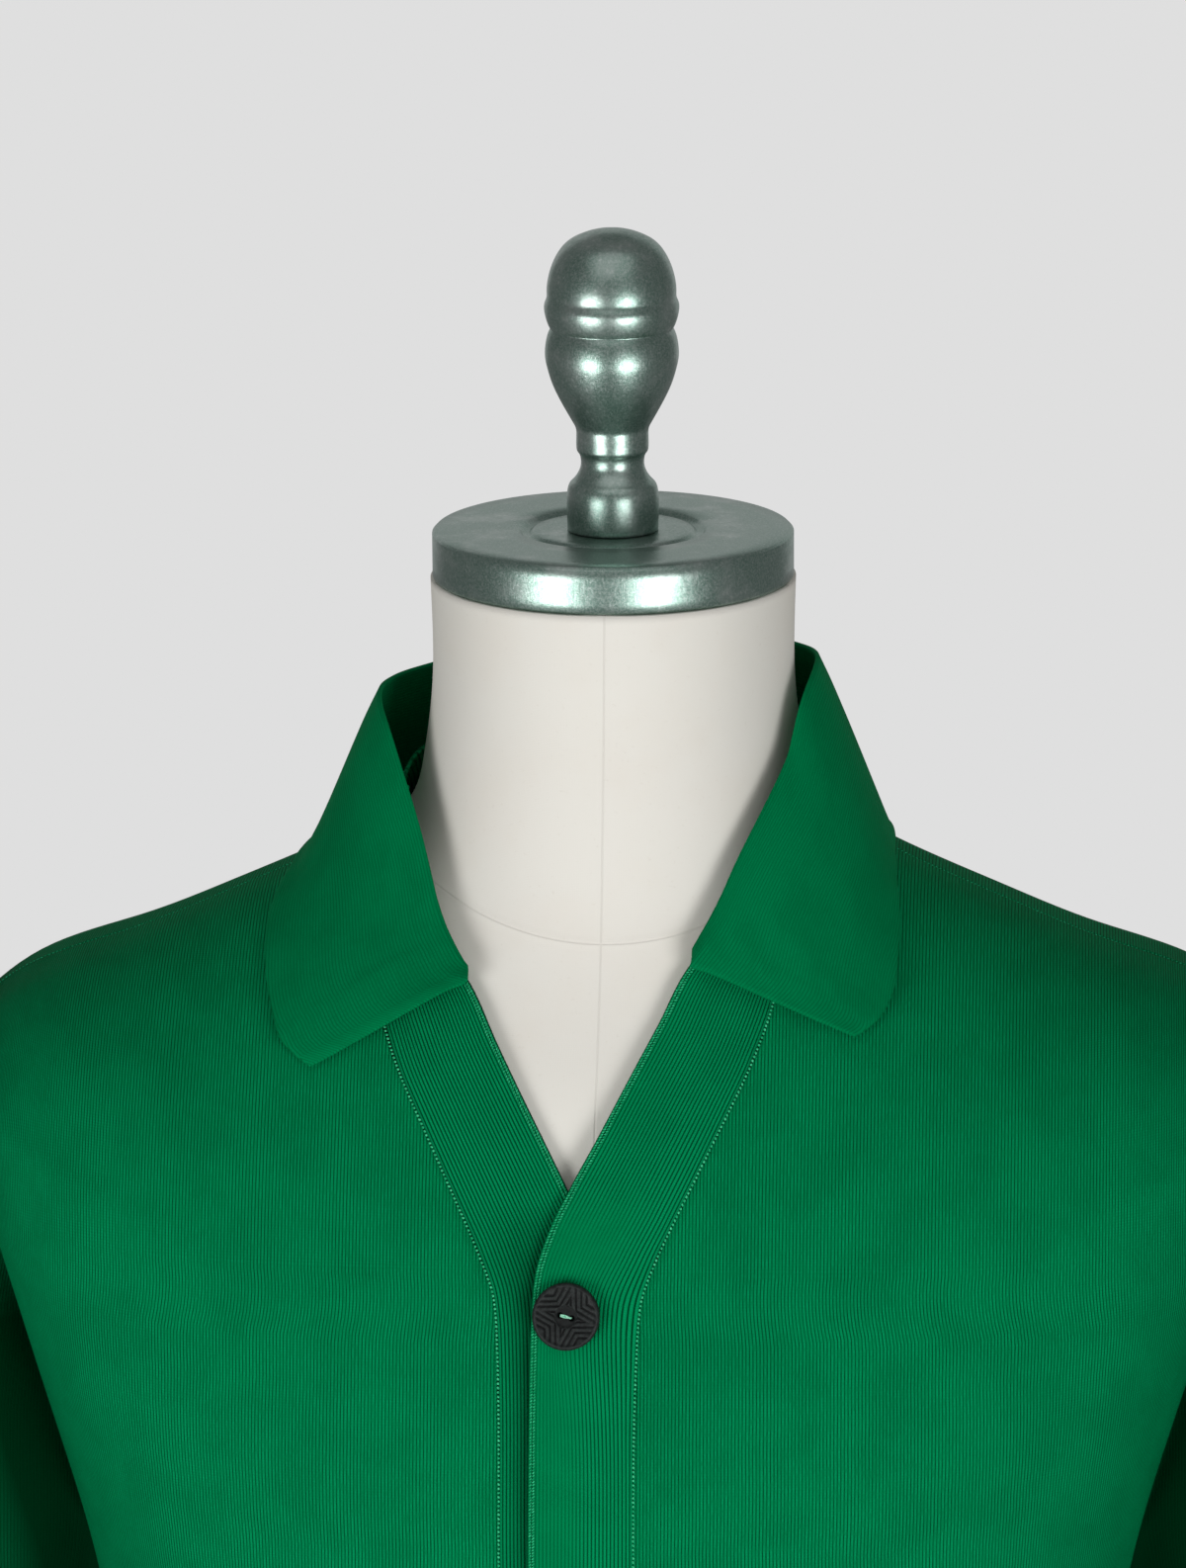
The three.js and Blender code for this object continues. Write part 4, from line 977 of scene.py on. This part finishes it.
def stitchTree():
    # a row of yarn stitches along a line that carries its own up direction
    tree, make = newTree("stitchRow", {
        "Spacing": ("Float", 0.0014), "Length": ("Float", 0.0015), "Width": ("Float", 0.0006),
        "Height": ("Float", 0.0005), "Lean": ("Float", 0.3), "Zigzag": ("Float", 0.0),
        "Lift": ("Float", 0.0001), "Seed": ("Int", 3), "Yarn": ("Material", None)})
    given = make.add("NodeGroupInput", None, None, "Geometry")
    line = make.add("GeometryNodeMeshToCurve", None, {"Mesh": given})
    places = make.add("GeometryNodeResampleCurve", {"mode": "LENGTH"},
                      {"Curve": line, "Length": given.out("Spacing")})
    up = make.named("outward", "FLOAT_VECTOR")
    lifted = make.add("GeometryNodeSetPosition", None,
                      {"Geometry": places, "Offset": make.scaled(up, given.out("Lift"))})
    forward = make.add("FunctionNodeAlignRotationToVector", {"axis": "X"},
                       {"Vector": make.add("GeometryNodeInputTangent")})
    upright = make.add("FunctionNodeAlignRotationToVector", {"axis": "Z", "pivot_axis": "X"},
                       {"Rotation": forward, "Vector": up})
    odd = (make.add("GeometryNodeInputIndex") * 0.5).fract() * 4 - 1
    jitter = make.add("FunctionNodeRandomValue", {"data_type": "FLOAT"},
                      {2: 0.88, 3: 1.12, "Seed": given.out("Seed")}, 1)
    swing = given.out("Lean") * jitter + odd * given.out("Zigzag")
    loop = make.add("GeometryNodeMeshUVSphere", None, {"Segments": 8, "Rings": 4, "Radius": 0.5})
    size = make.add("ShaderNodeCombineXYZ", None,
                    {"X": given.out("Length") * jitter, "Y": given.out("Width"), "Z": given.out("Height")})
    row = make.add("GeometryNodeInstanceOnPoints", None,
                   {"Points": lifted, "Instance": loop, "Rotation": upright, "Scale": size})
    turn = make.add("ShaderNodeCombineXYZ", None, {"Z": swing})
    turned = make.add("GeometryNodeRotateInstances", None, {"Instances": row, "Rotation": turn})
    solid = make.add("GeometryNodeRealizeInstances", None, {"Geometry": turned})
    soft = make.add("GeometryNodeSetShadeSmooth", None, {"Geometry": solid})
    yarn = make.add("GeometryNodeSetMaterial", None, {"Geometry": soft, "Material": given.out("Yarn")})
    make.add("NodeGroupOutput", None, {"Geometry": yarn})
    return tree


ribWave, stitchRow = ribTree(), stitchTree()


def pathObject(runs):
    # lines of points as one mesh of edges; each run is (points, outward directions)
    spots, ups, edges = [], [], []
    for points, outward in runs:
        first = len(spots)
        spots += (np.asarray(points) * mm).tolist()
        ups += np.asarray(outward).tolist()
        edges += [(first + i, first + i + 1) for i in range(len(points) - 1)]
    mesh = bpy.data.meshes.new("path")
    mesh.from_pydata(spots, edges, [])
    setMarks(mesh, "outward", ups, "FLOAT_VECTOR")
    return placed("path", mesh)


def stitches(name, runs, look, yarn=None):
    path = pathObject(runs)
    values = {key: value * mm if key in ("Spacing", "Length", "Width", "Height", "Lift") else value
              for key, value in look.items()}
    mesh = grown(path, stitchRow, {**values, "Yarn": yarn or linkYarn})
    bpy.data.objects.remove(path)
    mesh.name = name
    return asPiece(name, mesh)


# front bands

bandLook = {
    "ribs": 28, "ribPitch": 1.23, "pointsPerRib": 6, "rowStep": 3.0, "wall": 1.7, "ribDepth": 0.42,
    "roundness": 0.65, "liftReach": 0.16, "skew": 1.36, "besideFrom": 0.35, "besideFade": 0.3,
    "edge": 0.03, "edgeRelief": 0.3, "grooveShade": 0.8, "rimBulge": 0.15,
    "underReach": (4, 8), "overReach": (22, 16), "underSide": (0.62, 0.25), "overSide": (0.85, 0.3),
    "shadowTop": (34, 30),
}


def railsOf(spots, faces, freeSide):
    # the two long edges of a band's plain inside, both from the hem up; the free one comes first
    ring = spots[boundaryLoops(faces)[0]]
    ahead, behind = np.roll(ring, -1, 0) - ring, ring - np.roll(ring, 1, 0)
    cosine = (ahead * behind).sum(1) / np.linalg.norm(ahead, axis=1) / np.linalg.norm(behind, axis=1)
    corners = sorted(np.argsort(cosine)[:4])
    chains = []
    for a, b in zip(corners, corners[1:] + [corners[0] + len(ring)]):
        chain = ring[np.arange(a, b + 1) % len(ring)]
        chains.append(chain if chain[0, 2] < chain[-1, 2] else chain[::-1])
    longest = sorted(chains, key=lambda chain: -np.linalg.norm(np.diff(chain, axis=0), axis=1).sum())[:2]
    return sorted(longest, key=lambda chain: -freeSide * chain[:, 0].mean())


def makeBand(name, freeSide, puckers, look):
    band = bandLook
    spots, faces = sheetArrays(sideOf(name, facing((0, 0.95, -0.3))))
    tree = treeOf(spots, faces)
    free, seam = railsOf(spots, faces, freeSide)
    if len(free) != len(seam):
        share = alongOf(free) / alongOf(free)[-1]
        seam = smoothThrough(alongOf(seam) / alongOf(seam)[-1], seam, share)
    coarse = np.linspace(0, 1, 7)
    rows = []
    for a, b in zip(free, seam):
        row = a + (b - a) * coarse[:, None]
        rows.append([tree.find_nearest(Vector(spot))[0] for spot in row])
    rows = np.array(rows)
    rows[:, 0], rows[:, -1] = free, seam
    up = alongOf((free + seam) / 2)
    count = int(up[-1] / band["rowStep"]) + 1
    places = np.linspace(0, up[-1], count)
    columns = band["ribs"] * band["pointsPerRib"] + 1
    share = np.linspace(0, 1, columns)
    grid = smoothThrough(up, rows, places)
    grid = smoothThrough(coarse, grid.transpose(1, 0, 2), share).transpose(1, 0, 2)
    normal = unit(np.cross(np.gradient(grid, axis=0), np.gradient(grid, axis=1)))
    normal *= np.sign(-normal[..., 1].mean())
    lift = normal * (look["lift"] * np.exp(-(share / band["liftReach"]) ** 2))[None, :, None]
    outside = grid + normal * band["wall"] + lift
    grid += lift
    phase, relief = np.tile(share, (count, 1)), np.ones((count, columns))
    height = grid[..., 2]
    for pucker in puckers:
        # ribs crowd under a button, stand wide beside it and fan out below
        away = height - pucker["z"]
        near = np.exp(-(away / np.where(away > 0, pucker["above"], pucker["below"])) ** 2)
        phase += pucker["shift"] * np.sin(np.pi * share ** band["skew"]) * near
        beside = ramp(share, band["besideFrom"], band["besideFade"])
        relief *= 1 + near * (pucker["stand"] * beside - pucker["calm"] * (1 - beside))
    relief *= np.clip(np.minimum(share, 1 - share) / band["edge"], band["edgeRelief"], 1)
    calm = look["calm"] * (1 - share) * np.ones((count, 1))
    if puckers:
        # the ribs lie flat beneath the top button and just above it
        (low, fall), (rise, spread) = band["underReach"], band["overReach"]
        (underTo, underFade), (overTo, overFade) = band["underSide"], band["overSide"]
        under = ramp(height, buttonTop + low, -fall) * look["calmUnder"] * ramp(share, underTo, -underFade)
        over = np.exp(-((height - buttonTop - rise) / spread) ** 2) * look["calmOver"]
        calm = np.maximum(np.maximum(calm, under), over * ramp(share, overTo, -overFade))
    # painted shade in the groove along the seam edge, and a painted shadow on the lower band, darkest at its
    # free edge, up to a little above the top button
    groove = ramp(share, 1 - band["edge"], band["edge"]) * band["grooveShade"]
    start, fade = band["shadowTop"]
    shadow = ramp(share, look["shadowTo"], -look["shadowTo"]) * look["shadow"]
    shadow = shadow * ramp(height, buttonTop + start, -fade)
    sunk = np.clip(np.maximum(groove, shadow), 0, 1)
    mesh = bpy.data.meshes.new(name)
    faces = quadsOf(count, columns)
    if np.cross(grid[0, 1] - grid[0, 0], grid[1, 0] - grid[0, 0]) @ normal[0, 0] < 0:
        faces = [face[::-1] for face in faces]
    mesh.from_pydata((outside.reshape(-1, 3) * mm).tolist(), [], faces)
    setMarks(mesh, "across", phase)
    setMarks(mesh, "relief", relief)
    setMarks(mesh, "outward", normal, "FLOAT_VECTOR")
    plain = placed(name, mesh)
    ribbed = grown(plain, ribWave, {"Ribs": float(band["ribs"]), "Depth": band["ribDepth"] * mm,
                                    "Roundness": band["roundness"]})
    bpy.data.objects.remove(plain)
    outer = arraysOf(ribbed)[0] / mm
    flat = np.stack((phase.ravel() * band["ribs"] * band["ribPitch"] + band["ribPitch"] / 2,
                     np.repeat(places, columns)), 1)
    skins[name] = (outside.reshape(-1, 3), faces, normal.reshape(-1, 3))
    edges[name] = {"free": (outside[:, 3], normal[:, 3]), "second": (outside[:, 8], normal[:, 8])}
    points, sides, source = closedShell(outer, faces, grid.reshape(-1, 3), band["rimBulge"])
    piece = makePiece(name + "_ribbing", points, sides, knitRib, flat[source], None, [name])
    setMarks(piece.data, "calm", calm.ravel()[source])
    setMarks(piece.data, "sunk", sunk.ravel()[source])
    return piece


edges = {}
buttonNames = sorted(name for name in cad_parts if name.startswith("button_"))
puckers = [{"z": middleOf(name).z, "above": 16, "below": 30, "shift": 0.085, "stand": 0.8, "calm": 0.5}
           for name in buttonNames]
puckers.sort(key=lambda pucker: -pucker["z"])
buttonTop = puckers[0]["z"]
topBandLook = {"lift": 0.9, "calm": 0.3, "calmUnder": 0.62, "calmOver": 0.75, "shadow": 0.0, "shadowTo": 0.5}
lowBandLook = {"lift": 0.0, "calm": 0.0, "shadow": 2.2, "shadowTo": 1.02}
cloth["band_left"] = makeBand("band_left", -1, puckers, topBandLook)
cloth["band_right"] = makeBand("band_right", 1, [], lowBandLook)
print("bands made")


# seams

def seamRuns(first, second, reach):
    # the lines where the edge of one sheet runs along another, midway between the two
    spots, faces, normals = skins[first]
    if second == "collar":
        # the leaf doesn't reach its seam, so the solid shows where that is
        solid = joinedTree([second])
    else:
        others = skins[second][0][rimOf(skins[second][1])]
    runs = []
    for loop in boundaryLoops(faces):
        ring = spots[loop]
        if second == "collar":
            near = np.array([solid.find_nearest(Vector(spot))[0] for spot in ring])
        else:
            near = np.array([others[np.argmin(np.linalg.norm(others - spot, axis=1))] for spot in ring])
        close = np.linalg.norm(near - ring, axis=1) < reach
        if not close.any():
            continue
        start = int(np.argmin(close)) if not close.all() else 0
        order = np.roll(np.arange(len(loop)), -start)
        run = []
        for i in list(order) + [None]:
            if i is not None and close[i]:
                run.append(i)
            elif run:
                if len(run) > 3:
                    runs.append(((ring[run] + near[run]) / 2, normals[loop][run]))
                run = []
    return runs


seamLook = {"Spacing": 1.45, "Length": 1.05, "Width": 0.85, "Height": 0.6, "Lean": 0.5, "Zigzag": 0.0,
            "Lift": 0.25, "Seed": 5}
selvageLook = {"Spacing": 1.0, "Length": 1.25, "Width": 0.6, "Height": 0.5, "Lean": -0.75, "Zigzag": 0.0,
               "Lift": 0.12, "Seed": 8}
hemLook = {**seamLook, "Spacing": 3.0, "Length": 2.2, "Width": 0.5, "Height": 0.35, "Lean": 0.0, "Lift": 0.0}
quietSeam = {**seamLook, "Length": 0.9, "Width": 0.55, "Height": 0.4, "Lift": 0.0}
seamPlaces = {"hemRise": 20, "holeLength": 20, "holeWidth": 1.6, "bandReach": 3.0, "clothReach": 2.5,
              "collarReach": 4.0}


def hitsOn(tree, places):
    # the nearest points of a skin to some places, and its outward directions there
    hits = [tree.find_nearest(place) for place in places]
    return np.array([hit[0] for hit in hits]), np.array([hit[1] for hit in hits])


def hemRuns(name):
    # the lower edge's run, moved up over the cloth
    spots, faces, _ = skins[name]
    tree = BVHTree.FromPolygons(spots.tolist(), faces)
    ring = list(min(boundaryLoops(faces), key=lambda ring: spots[ring][:, 2].mean()))
    if name.startswith("sleeve"):
        ring += ring[:1]
    else:
        low = [bool(spots[point][2] < hemZ + 2) for point in ring]
        start = low.index(False)
        ring = [point for point in ring[start:] + ring[:start] if spots[point][2] < hemZ + 2]
    rise = Vector((0, 0, seamPlaces["hemRise"]))
    return [hitsOn(tree, [Vector(spots[point]) + rise for point in ring])]


def holeRuns(name):
    # the two sewn sides of each buttonhole, under its button
    spots, faces, _ = skins[name]
    tree = BVHTree.FromPolygons(spots.tolist(), faces)
    half, side = seamPlaces["holeLength"] / 2, seamPlaces["holeWidth"] / 2
    rises = np.linspace(-half, half, 11)
    return [hitsOn(tree, [middleOf(button) + Vector((x, 0, rise)) for rise in rises])
            for button in buttonNames for x in (-side, side)]


def makeSeams():
    made, reach = {}, seamPlaces["clothReach"]
    for name in ("front_left", "front_right", "back", "sleeve_left", "sleeve_right"):
        made[name + "_hem"] = stitches(name + "_hem", hemRuns(name), hemLook)
    made["holes"] = stitches("buttonholes", holeRuns("band_left"), selvageLook)
    for side in ("left", "right"):
        front, band, sleeve = "front_" + side, "band_" + side, "sleeve_" + side
        runs = seamRuns(band, front, seamPlaces["bandReach"])
        made[band] = stitches(band + "_linking", runs, seamLook, paintedLightYarn)
        made[front] = stitches(front + "_seams", seamRuns(front, "back", reach), quietSeam)
        runs = seamRuns(sleeve, front, reach) + seamRuns(sleeve, "back", reach)
        made[sleeve] = stitches(sleeve + "_armhole_seam", runs, quietSeam)
    for name in ("band_left", "band_right"):
        runs = [edges[name]["free"], edges[name]["second"]]
        made[name + "_edge"] = stitches(name + "_selvage", runs, selvageLook)
    runs = [run for name in ("back", "front_left", "front_right")
            for run in seamRuns(name, "collar", seamPlaces["collarReach"])]
    made["collar"] = stitches("collar_linking", runs, quietSeam)
    return made


seams = makeSeams()
print("seams made")


# buttons

buttonLook = {
    "rimWidth": 1.1, "rimHeight": 0.35, "dish": 0.25, "eyeRadius": 3.6, "eyeDepth": 0.75,
    "holeRadius": 0.85, "holePitch": 4.0, "holeDepth": 2.4, "grooves": 0.55, "groovePitch": 1.75,
    "sectors": 8, "rings": 64, "spokes": 160, "edgeRound": 0.8,
    "threadRadius": 0.14, "strands": 4, "strandRise": 0.25, "threadTilt": -14, "shankRadius": 1.1,
    "slant": 52, "carveEdge": (0.5, 0.4), "grooveStart": 1.15, "grooveWidth": 0.62, "eyeSlope": 0.18,
    "rimSpread": 0.7, "holeSlope": 0.06, "eyeShade": 0.6, "thickest": 3.6, "middleRings": 0.35,
    "backSteps": ((1.0, 0.7), (0.965, 0.2), (0.9, 0.0)), "lanePitch": 1.9, "strandBump": 0.12,
    "strandDrop": 1.6, "shankGap": 0.05, "shankLength": 1.6,
}


def buttonAxes(name):
    # centre, radius, thickness and outward direction of a button, from its solid
    spots, _ = arraysOf(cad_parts[name].data)
    spots = spots / mm
    centre = spots.mean(0)
    _, _, axes = np.linalg.svd(spots - centre, full_matrices=False)
    outward = axes[2] * (-1 if axes[2][1] > 0 else 1)
    right = unit(np.cross(upAxis, outward))
    up = np.cross(outward, right)
    up *= np.sign(up[2])
    depth = (spots - centre) @ outward
    wide = (spots - centre) @ right
    tall = (spots - centre) @ up
    radius = (wide.max() - wide.min()) / 2
    middle = centre + right * (wide.max() + wide.min()) / 2 + up * (tall.max() + tall.min()) / 2
    return middle, radius, depth.min(), depth.max(), right, up, outward


def carvedHeight(x, y, radius):
    # raised rim, slanted grooves that change way from sector to sector, and a sunken eye with two holes
    look = buttonLook
    r, turn = np.hypot(x, y), np.arctan2(y, x)
    step = math.tau / look["sectors"]
    sector = np.floor(turn / step)
    middle = (sector + 0.5) * step
    slant = middle + np.where(sector % 2 == 0, 1, -1) * math.radians(look["slant"])
    wave = np.abs(np.sin(np.pi * (x * np.cos(slant) + y * np.sin(slant)) / look["groovePitch"]))
    outerEdge, innerEdge = look["carveEdge"]
    carved = ramp(r, radius - look["rimWidth"], -outerEdge) * ramp(r, look["eyeRadius"], innerEdge)
    groove = carved * np.clip(look["grooveStart"] - wave / look["grooveWidth"], 0, 1)
    eye = 1 / (1 + np.exp((r - look["eyeRadius"]) / look["eyeSlope"]))
    rim = np.exp(-((r - radius + look["rimWidth"]) / look["rimSpread"]) ** 2)
    height = look["rimHeight"] * rim - look["dish"] * (1 - (r / radius) ** 2)
    height = height - look["grooves"] * groove - look["eyeDepth"] * eye
    for side in (-1, 1):
        hole = np.hypot(x - side * look["holePitch"] / 2, y)
        height -= look["holeDepth"] / (1 + np.exp((hole - look["holeRadius"]) / look["holeSlope"]))
    edge = ramp(r, radius - look["edgeRound"], look["edgeRound"])
    height -= look["edgeRound"] * (1 - np.sqrt(1 - edge ** 2 * 0.999))
    # the second value is how much painted shade each point gets: full in the grooves, part in the sunken eye
    return height, np.clip(groove + eye * look["eyeShade"], 0, 1)


def makeButton(name):
    look = buttonLook
    middle, radius, back, front, right, up, outward = buttonAxes(name)
    tilt = math.radians(look["threadTilt"])
    right, up = right * math.cos(tilt) + up * math.sin(tilt), up * math.cos(tilt) - right * math.sin(tilt)
    even, crowded = np.linspace(0, 1, look["rings"]), look["middleRings"]
    rings = (np.sin(even * math.pi / 2) * crowded + even * (1 - crowded))[1:] * radius
    turns = np.arange(look["spokes"]) * math.tau / look["spokes"]
    x, y = np.outer(rings, np.cos(turns)), np.outer(rings, np.sin(turns))
    height, groove = carvedHeight(x, y, radius)
    thick = min(front - back, look["thickest"])
    top = front - look["rimHeight"]
    centreHeight, _ = carvedHeight(np.zeros(1), np.zeros(1), radius)
    spots = [middle + outward * (top + centreHeight[0])]
    spots += list((middle + x[..., None] * right + y[..., None] * up
                   + (top + height)[..., None] * outward).reshape(-1, 3))
    marks = [look["eyeShade"]] + list(groove.ravel())
    for share, rise in look["backSteps"]:
        ring = middle + radius * share * (np.cos(turns)[:, None] * right + np.sin(turns)[:, None] * up)
        spots += list(ring + outward * (top - thick + rise))
        marks += [0.0] * len(turns)
    spots.append(middle + outward * (top - thick))
    marks.append(0.0)
    n, layers = look["spokes"], len(rings) + len(look["backSteps"])
    faces = [(0, 1 + i, 1 + (i + 1) % n) for i in range(n)]
    for k in range(layers - 1):
        a, b = 1 + k * n, 1 + (k + 1) * n
        faces += [(a + i, b + i, b + (i + 1) % n, a + (i + 1) % n) for i in range(n)]
    last = 1 + (layers - 1) * n
    faces += [(last + i, len(spots) - 1, last + (i + 1) % n) for i in range(n)]
    if np.cross(right, up) @ outward < 0:
        faces = [face[::-1] for face in faces]
    piece = makePiece(name + "_carved", spots, faces, horn, stoodFor=[name])
    setMarks(piece.data, "carve", marks)
    makeThread(name, middle, top, thick, right, up, outward)
    return piece


def tube(line, radius, sides=8):
    # a round closed strand along a line of points
    line = np.asarray(line, float)
    way = unit(np.gradient(line, axis=0))
    side = unit(np.cross(way, (0.3, 0.9, 0.2)))
    over = np.cross(way, side)
    turns = np.arange(sides) * math.tau / sides
    rings = (line[:, None] + radius * (np.cos(turns)[:, None] * side[:, None]
                                       + np.sin(turns)[:, None] * over[:, None]))
    spots = np.vstack((rings.reshape(-1, 3), line[:1], line[-1:]))
    faces = []
    for k in range(len(line) - 1):
        a, b = k * sides, (k + 1) * sides
        faces += [(a + i, a + (i + 1) % sides, b + (i + 1) % sides, b + i) for i in range(sides)]
    end = (len(line) - 1) * sides
    faces += [(len(spots) - 2, (i + 1) % sides, i) for i in range(sides)]
    faces += [(len(spots) - 1, end + i, end + (i + 1) % sides) for i in range(sides)]
    return spots, faces


def together(parts):
    spots, faces = [], []
    for some, sides in parts:
        faces += [tuple(i + len(spots) for i in side) for side in sides]
        spots += list(some)
    return np.array(spots), faces


def makeThread(name, middle, top, thick, right, up, outward):
    # strands across the eye, down through both holes, and the wound shank under the button
    look = buttonLook
    parts = []
    share = np.linspace(-1, 1, 17)
    for k in range(look["strands"]):
        lane = (k - (look["strands"] - 1) / 2) * look["threadRadius"] * look["lanePitch"]
        along = share * look["holePitch"] / 2
        rise = look["strandRise"] * (1 - share ** 2) + (look["strandBump"] if k == 1 else 0.0)
        deep = np.where(np.abs(share) > 0.97, -look["strandDrop"], 0.0)
        floor = top - look["dish"] - look["eyeDepth"] + look["threadRadius"]
        sway = lane * (1 - 0.5 * np.abs(share)) + 0.1 * np.sin(3 * share + k)
        line = middle + along[:, None] * right + sway[:, None] * up + (floor + rise + deep)[:, None] * outward
        parts.append(tube(line, look["threadRadius"]))
    start = middle + outward * (top - thick - look["shankGap"])
    shank = [start - outward * depth for depth in np.linspace(0, look["shankLength"], 5)]
    parts.append(tube(shank, look["shankRadius"], 14))
    spots, faces = together(parts)
    return makePiece(name + "_thread", spots, faces, buttonThread)


for name in buttonNames:
    makeButton(name)
print("buttons made")


# dress form

def refined(name, pieceName, levels, creaseAngle, material):
    # a solid made smooth between its sharp edges
    solid = wholeOf(name)
    intoQuads(solid, 25)
    spots, faces = smoothed(solid, levels, creaseAngle)
    return makePiece(pieceName, spots, faces, material, stoodFor=[name])


def turned(name, pieceName, material, slot, around=96, soft=0.7):
    # a solid of revolution, its profile read off the solid itself and its corners broken
    solid = wholeOf(name)
    place = {vert: (round(math.hypot(vert.co.x, vert.co.y), 1), round(vert.co.z, 1)) for vert in solid.verts}
    near = {}
    for edge in solid.edges:
        a, b = (place[vert] for vert in edge.verts)
        if a != b:
            near.setdefault(a, set()).add(b)
            near.setdefault(b, set()).add(a)
    solid.free()
    profile = [min(spot for spot in near if spot[0] < 0.05)]
    while len(profile) < len(near):
        profile.append(next(spot for spot in near[profile[-1]] if spot not in profile))
    profile = np.array(profile)
    line = [profile[0]]
    for i in range(1, len(profile) - 1):
        for other in (profile[i - 1], profile[i + 1]):
            way = other - profile[i]
            line.append(profile[i] + way * min(soft / np.linalg.norm(way), 0.3))
    line = np.array(line + [profile[-1]])
    turn = np.arange(around) * math.tau / around
    rings = [(radius * math.cos(angle), radius * math.sin(angle), z)
             for radius, z in line[1:-1] for angle in turn]
    spots = np.array([(0, 0, line[0][1])] + rings + [(0, 0, line[-1][1])])
    faces, last = [], len(spots) - 1
    for i in range(around):
        j = (i + 1) % around
        faces += [(0, 1 + j, 1 + i), (last, last - around + i, last - around + j)]
        for row in range(len(line) - 3):
            low = 1 + row * around
            faces.append((low + i, low + j, low + around + j, low + around + i))
    return makePiece(pieceName, spots, faces, material, stoodFor=[name])


refined("form_torso", "form_cover", 3, 50, linen)
refined("neck_cap", "neck_cap_turned", 2, 30, metal)
refined("finial", "finial_turned", 3, 40, metal)
turned("pole", "pole_turned", metal, "turned_metal")
turned("base", "base_turned", metal, "turned_metal")
print("dress form made")


# floor, light and camera

stageLook = {
    "backdrop": colour(223, 223, 223), "floorRadius": 4.0, "fadeStart": 0.2, "fadeEnd": 1.0, "dim": 0.24,
}
boxLook = {"aim": (0, 0, 0.64), "size": (0.9, 1.0)}
lampLook = [
    {**boxLook, "name": "leftSoftbox", "place": (-1.13, -1.65, 0.44), "power": 18.7},
    {**boxLook, "name": "rightSoftbox", "place": (1.0, -1.72, 0.44), "power": 19.7},
    {"name": "topFill", "place": (0.1, -1.4, 2.8), "aim": (0, 0, 0.8), "size": (3.2, 2.2), "power": 9},
    {"name": "backdropGlow", "place": (0.0, 2.6, 1.4), "aim": (0, 0, 0.9), "size": (4.0, 2.4), "power": 9},
]
cameraLook = {
    "place": (0.1549, -2.5327, 1.5532), "ahead": (-0.061908, 0.966149, -0.250447), "roll": -0.4,
    "lens": 176.2,
}


def makeStage():
    material, make = newMaterial("paleFloor")
    spot = make.objectPlace()
    far = make.add("ShaderNodeVectorMath", {"operation": "LENGTH"}, {"Vector": spot}, "Value")
    matte = make.add("ShaderNodeBsdfDiffuse", None, {"Color": stageLook["backdrop"]})
    clear = make.add("ShaderNodeBsdfTransparent")
    gone = make.fade(far, stageLook["fadeStart"], stageLook["fadeEnd"])
    mixed = make.add("ShaderNodeMixShader", None, {0: gone, 1: matte, 2: clear})
    make.add("ShaderNodeOutputMaterial", None, {"Surface": mixed})
    floor = bmesh.new()
    bmesh.ops.create_circle(floor, cap_ends=True, segments=96, radius=stageLook["floorRadius"])
    mesh = bpy.data.meshes.new("floor")
    floor.to_mesh(mesh)
    floor.free()
    mesh.transform(Matrix.Translation((0, 0, cadBox[0].z)))
    mesh.materials.append(material)
    placed("floor", mesh)
    world = bpy.data.worlds.new("studio")
    bpy.context.scene.world = world
    world.use_nodes = True
    world.node_tree.nodes.clear()
    make = Nodes(world.node_tree)
    seen = make.add("ShaderNodeBackground", None, {"Color": stageLook["backdrop"], "Strength": 1.0})
    shed = make.add("ShaderNodeBackground", None,
                    {"Color": stageLook["backdrop"], "Strength": stageLook["dim"]})
    direct = make.add("ShaderNodeLightPath", None, None, "Is Camera Ray")
    sky = make.add("ShaderNodeMixShader", None, {0: direct, 1: shed, 2: seen})
    make.add("ShaderNodeOutputWorld", None, {"Surface": sky})


def makeLamps():
    for look in lampLook:
        lamp = bpy.data.lights.new(look["name"], "AREA")
        lamp.shape, lamp.energy = "RECTANGLE", look["power"]
        lamp.size, lamp.size_y = look["size"]
        holder = placed(look["name"], lamp)
        holder.location = look["place"]
        way = Vector(look["aim"]) - Vector(look["place"])
        holder.rotation_euler = way.to_track_quat("-Z", "Y").to_euler()
        holder.visible_camera = False


def makeCamera():
    lens = bpy.data.cameras.new("camera")
    lens.sensor_width = 36.0
    lens.sensor_fit = "AUTO"
    lens.lens = cameraLook["lens"]
    lens.clip_start, lens.clip_end = 0.05, 50
    camera = placed("camera", lens)
    camera.location = cameraLook["place"]
    level = Vector(cameraLook["ahead"]).to_track_quat("-Z", "Y")
    roll = Matrix.Rotation(math.radians(cameraLook["roll"]), 3, Vector((0, 0, 1)))
    camera.rotation_euler = (level.to_matrix() @ roll).to_euler()
    bpy.context.scene.camera = camera


makeStage()
makeLamps()
makeCamera()
bpy.context.scene.view_settings.view_transform = "Standard"
print("stage, lamps and camera made")
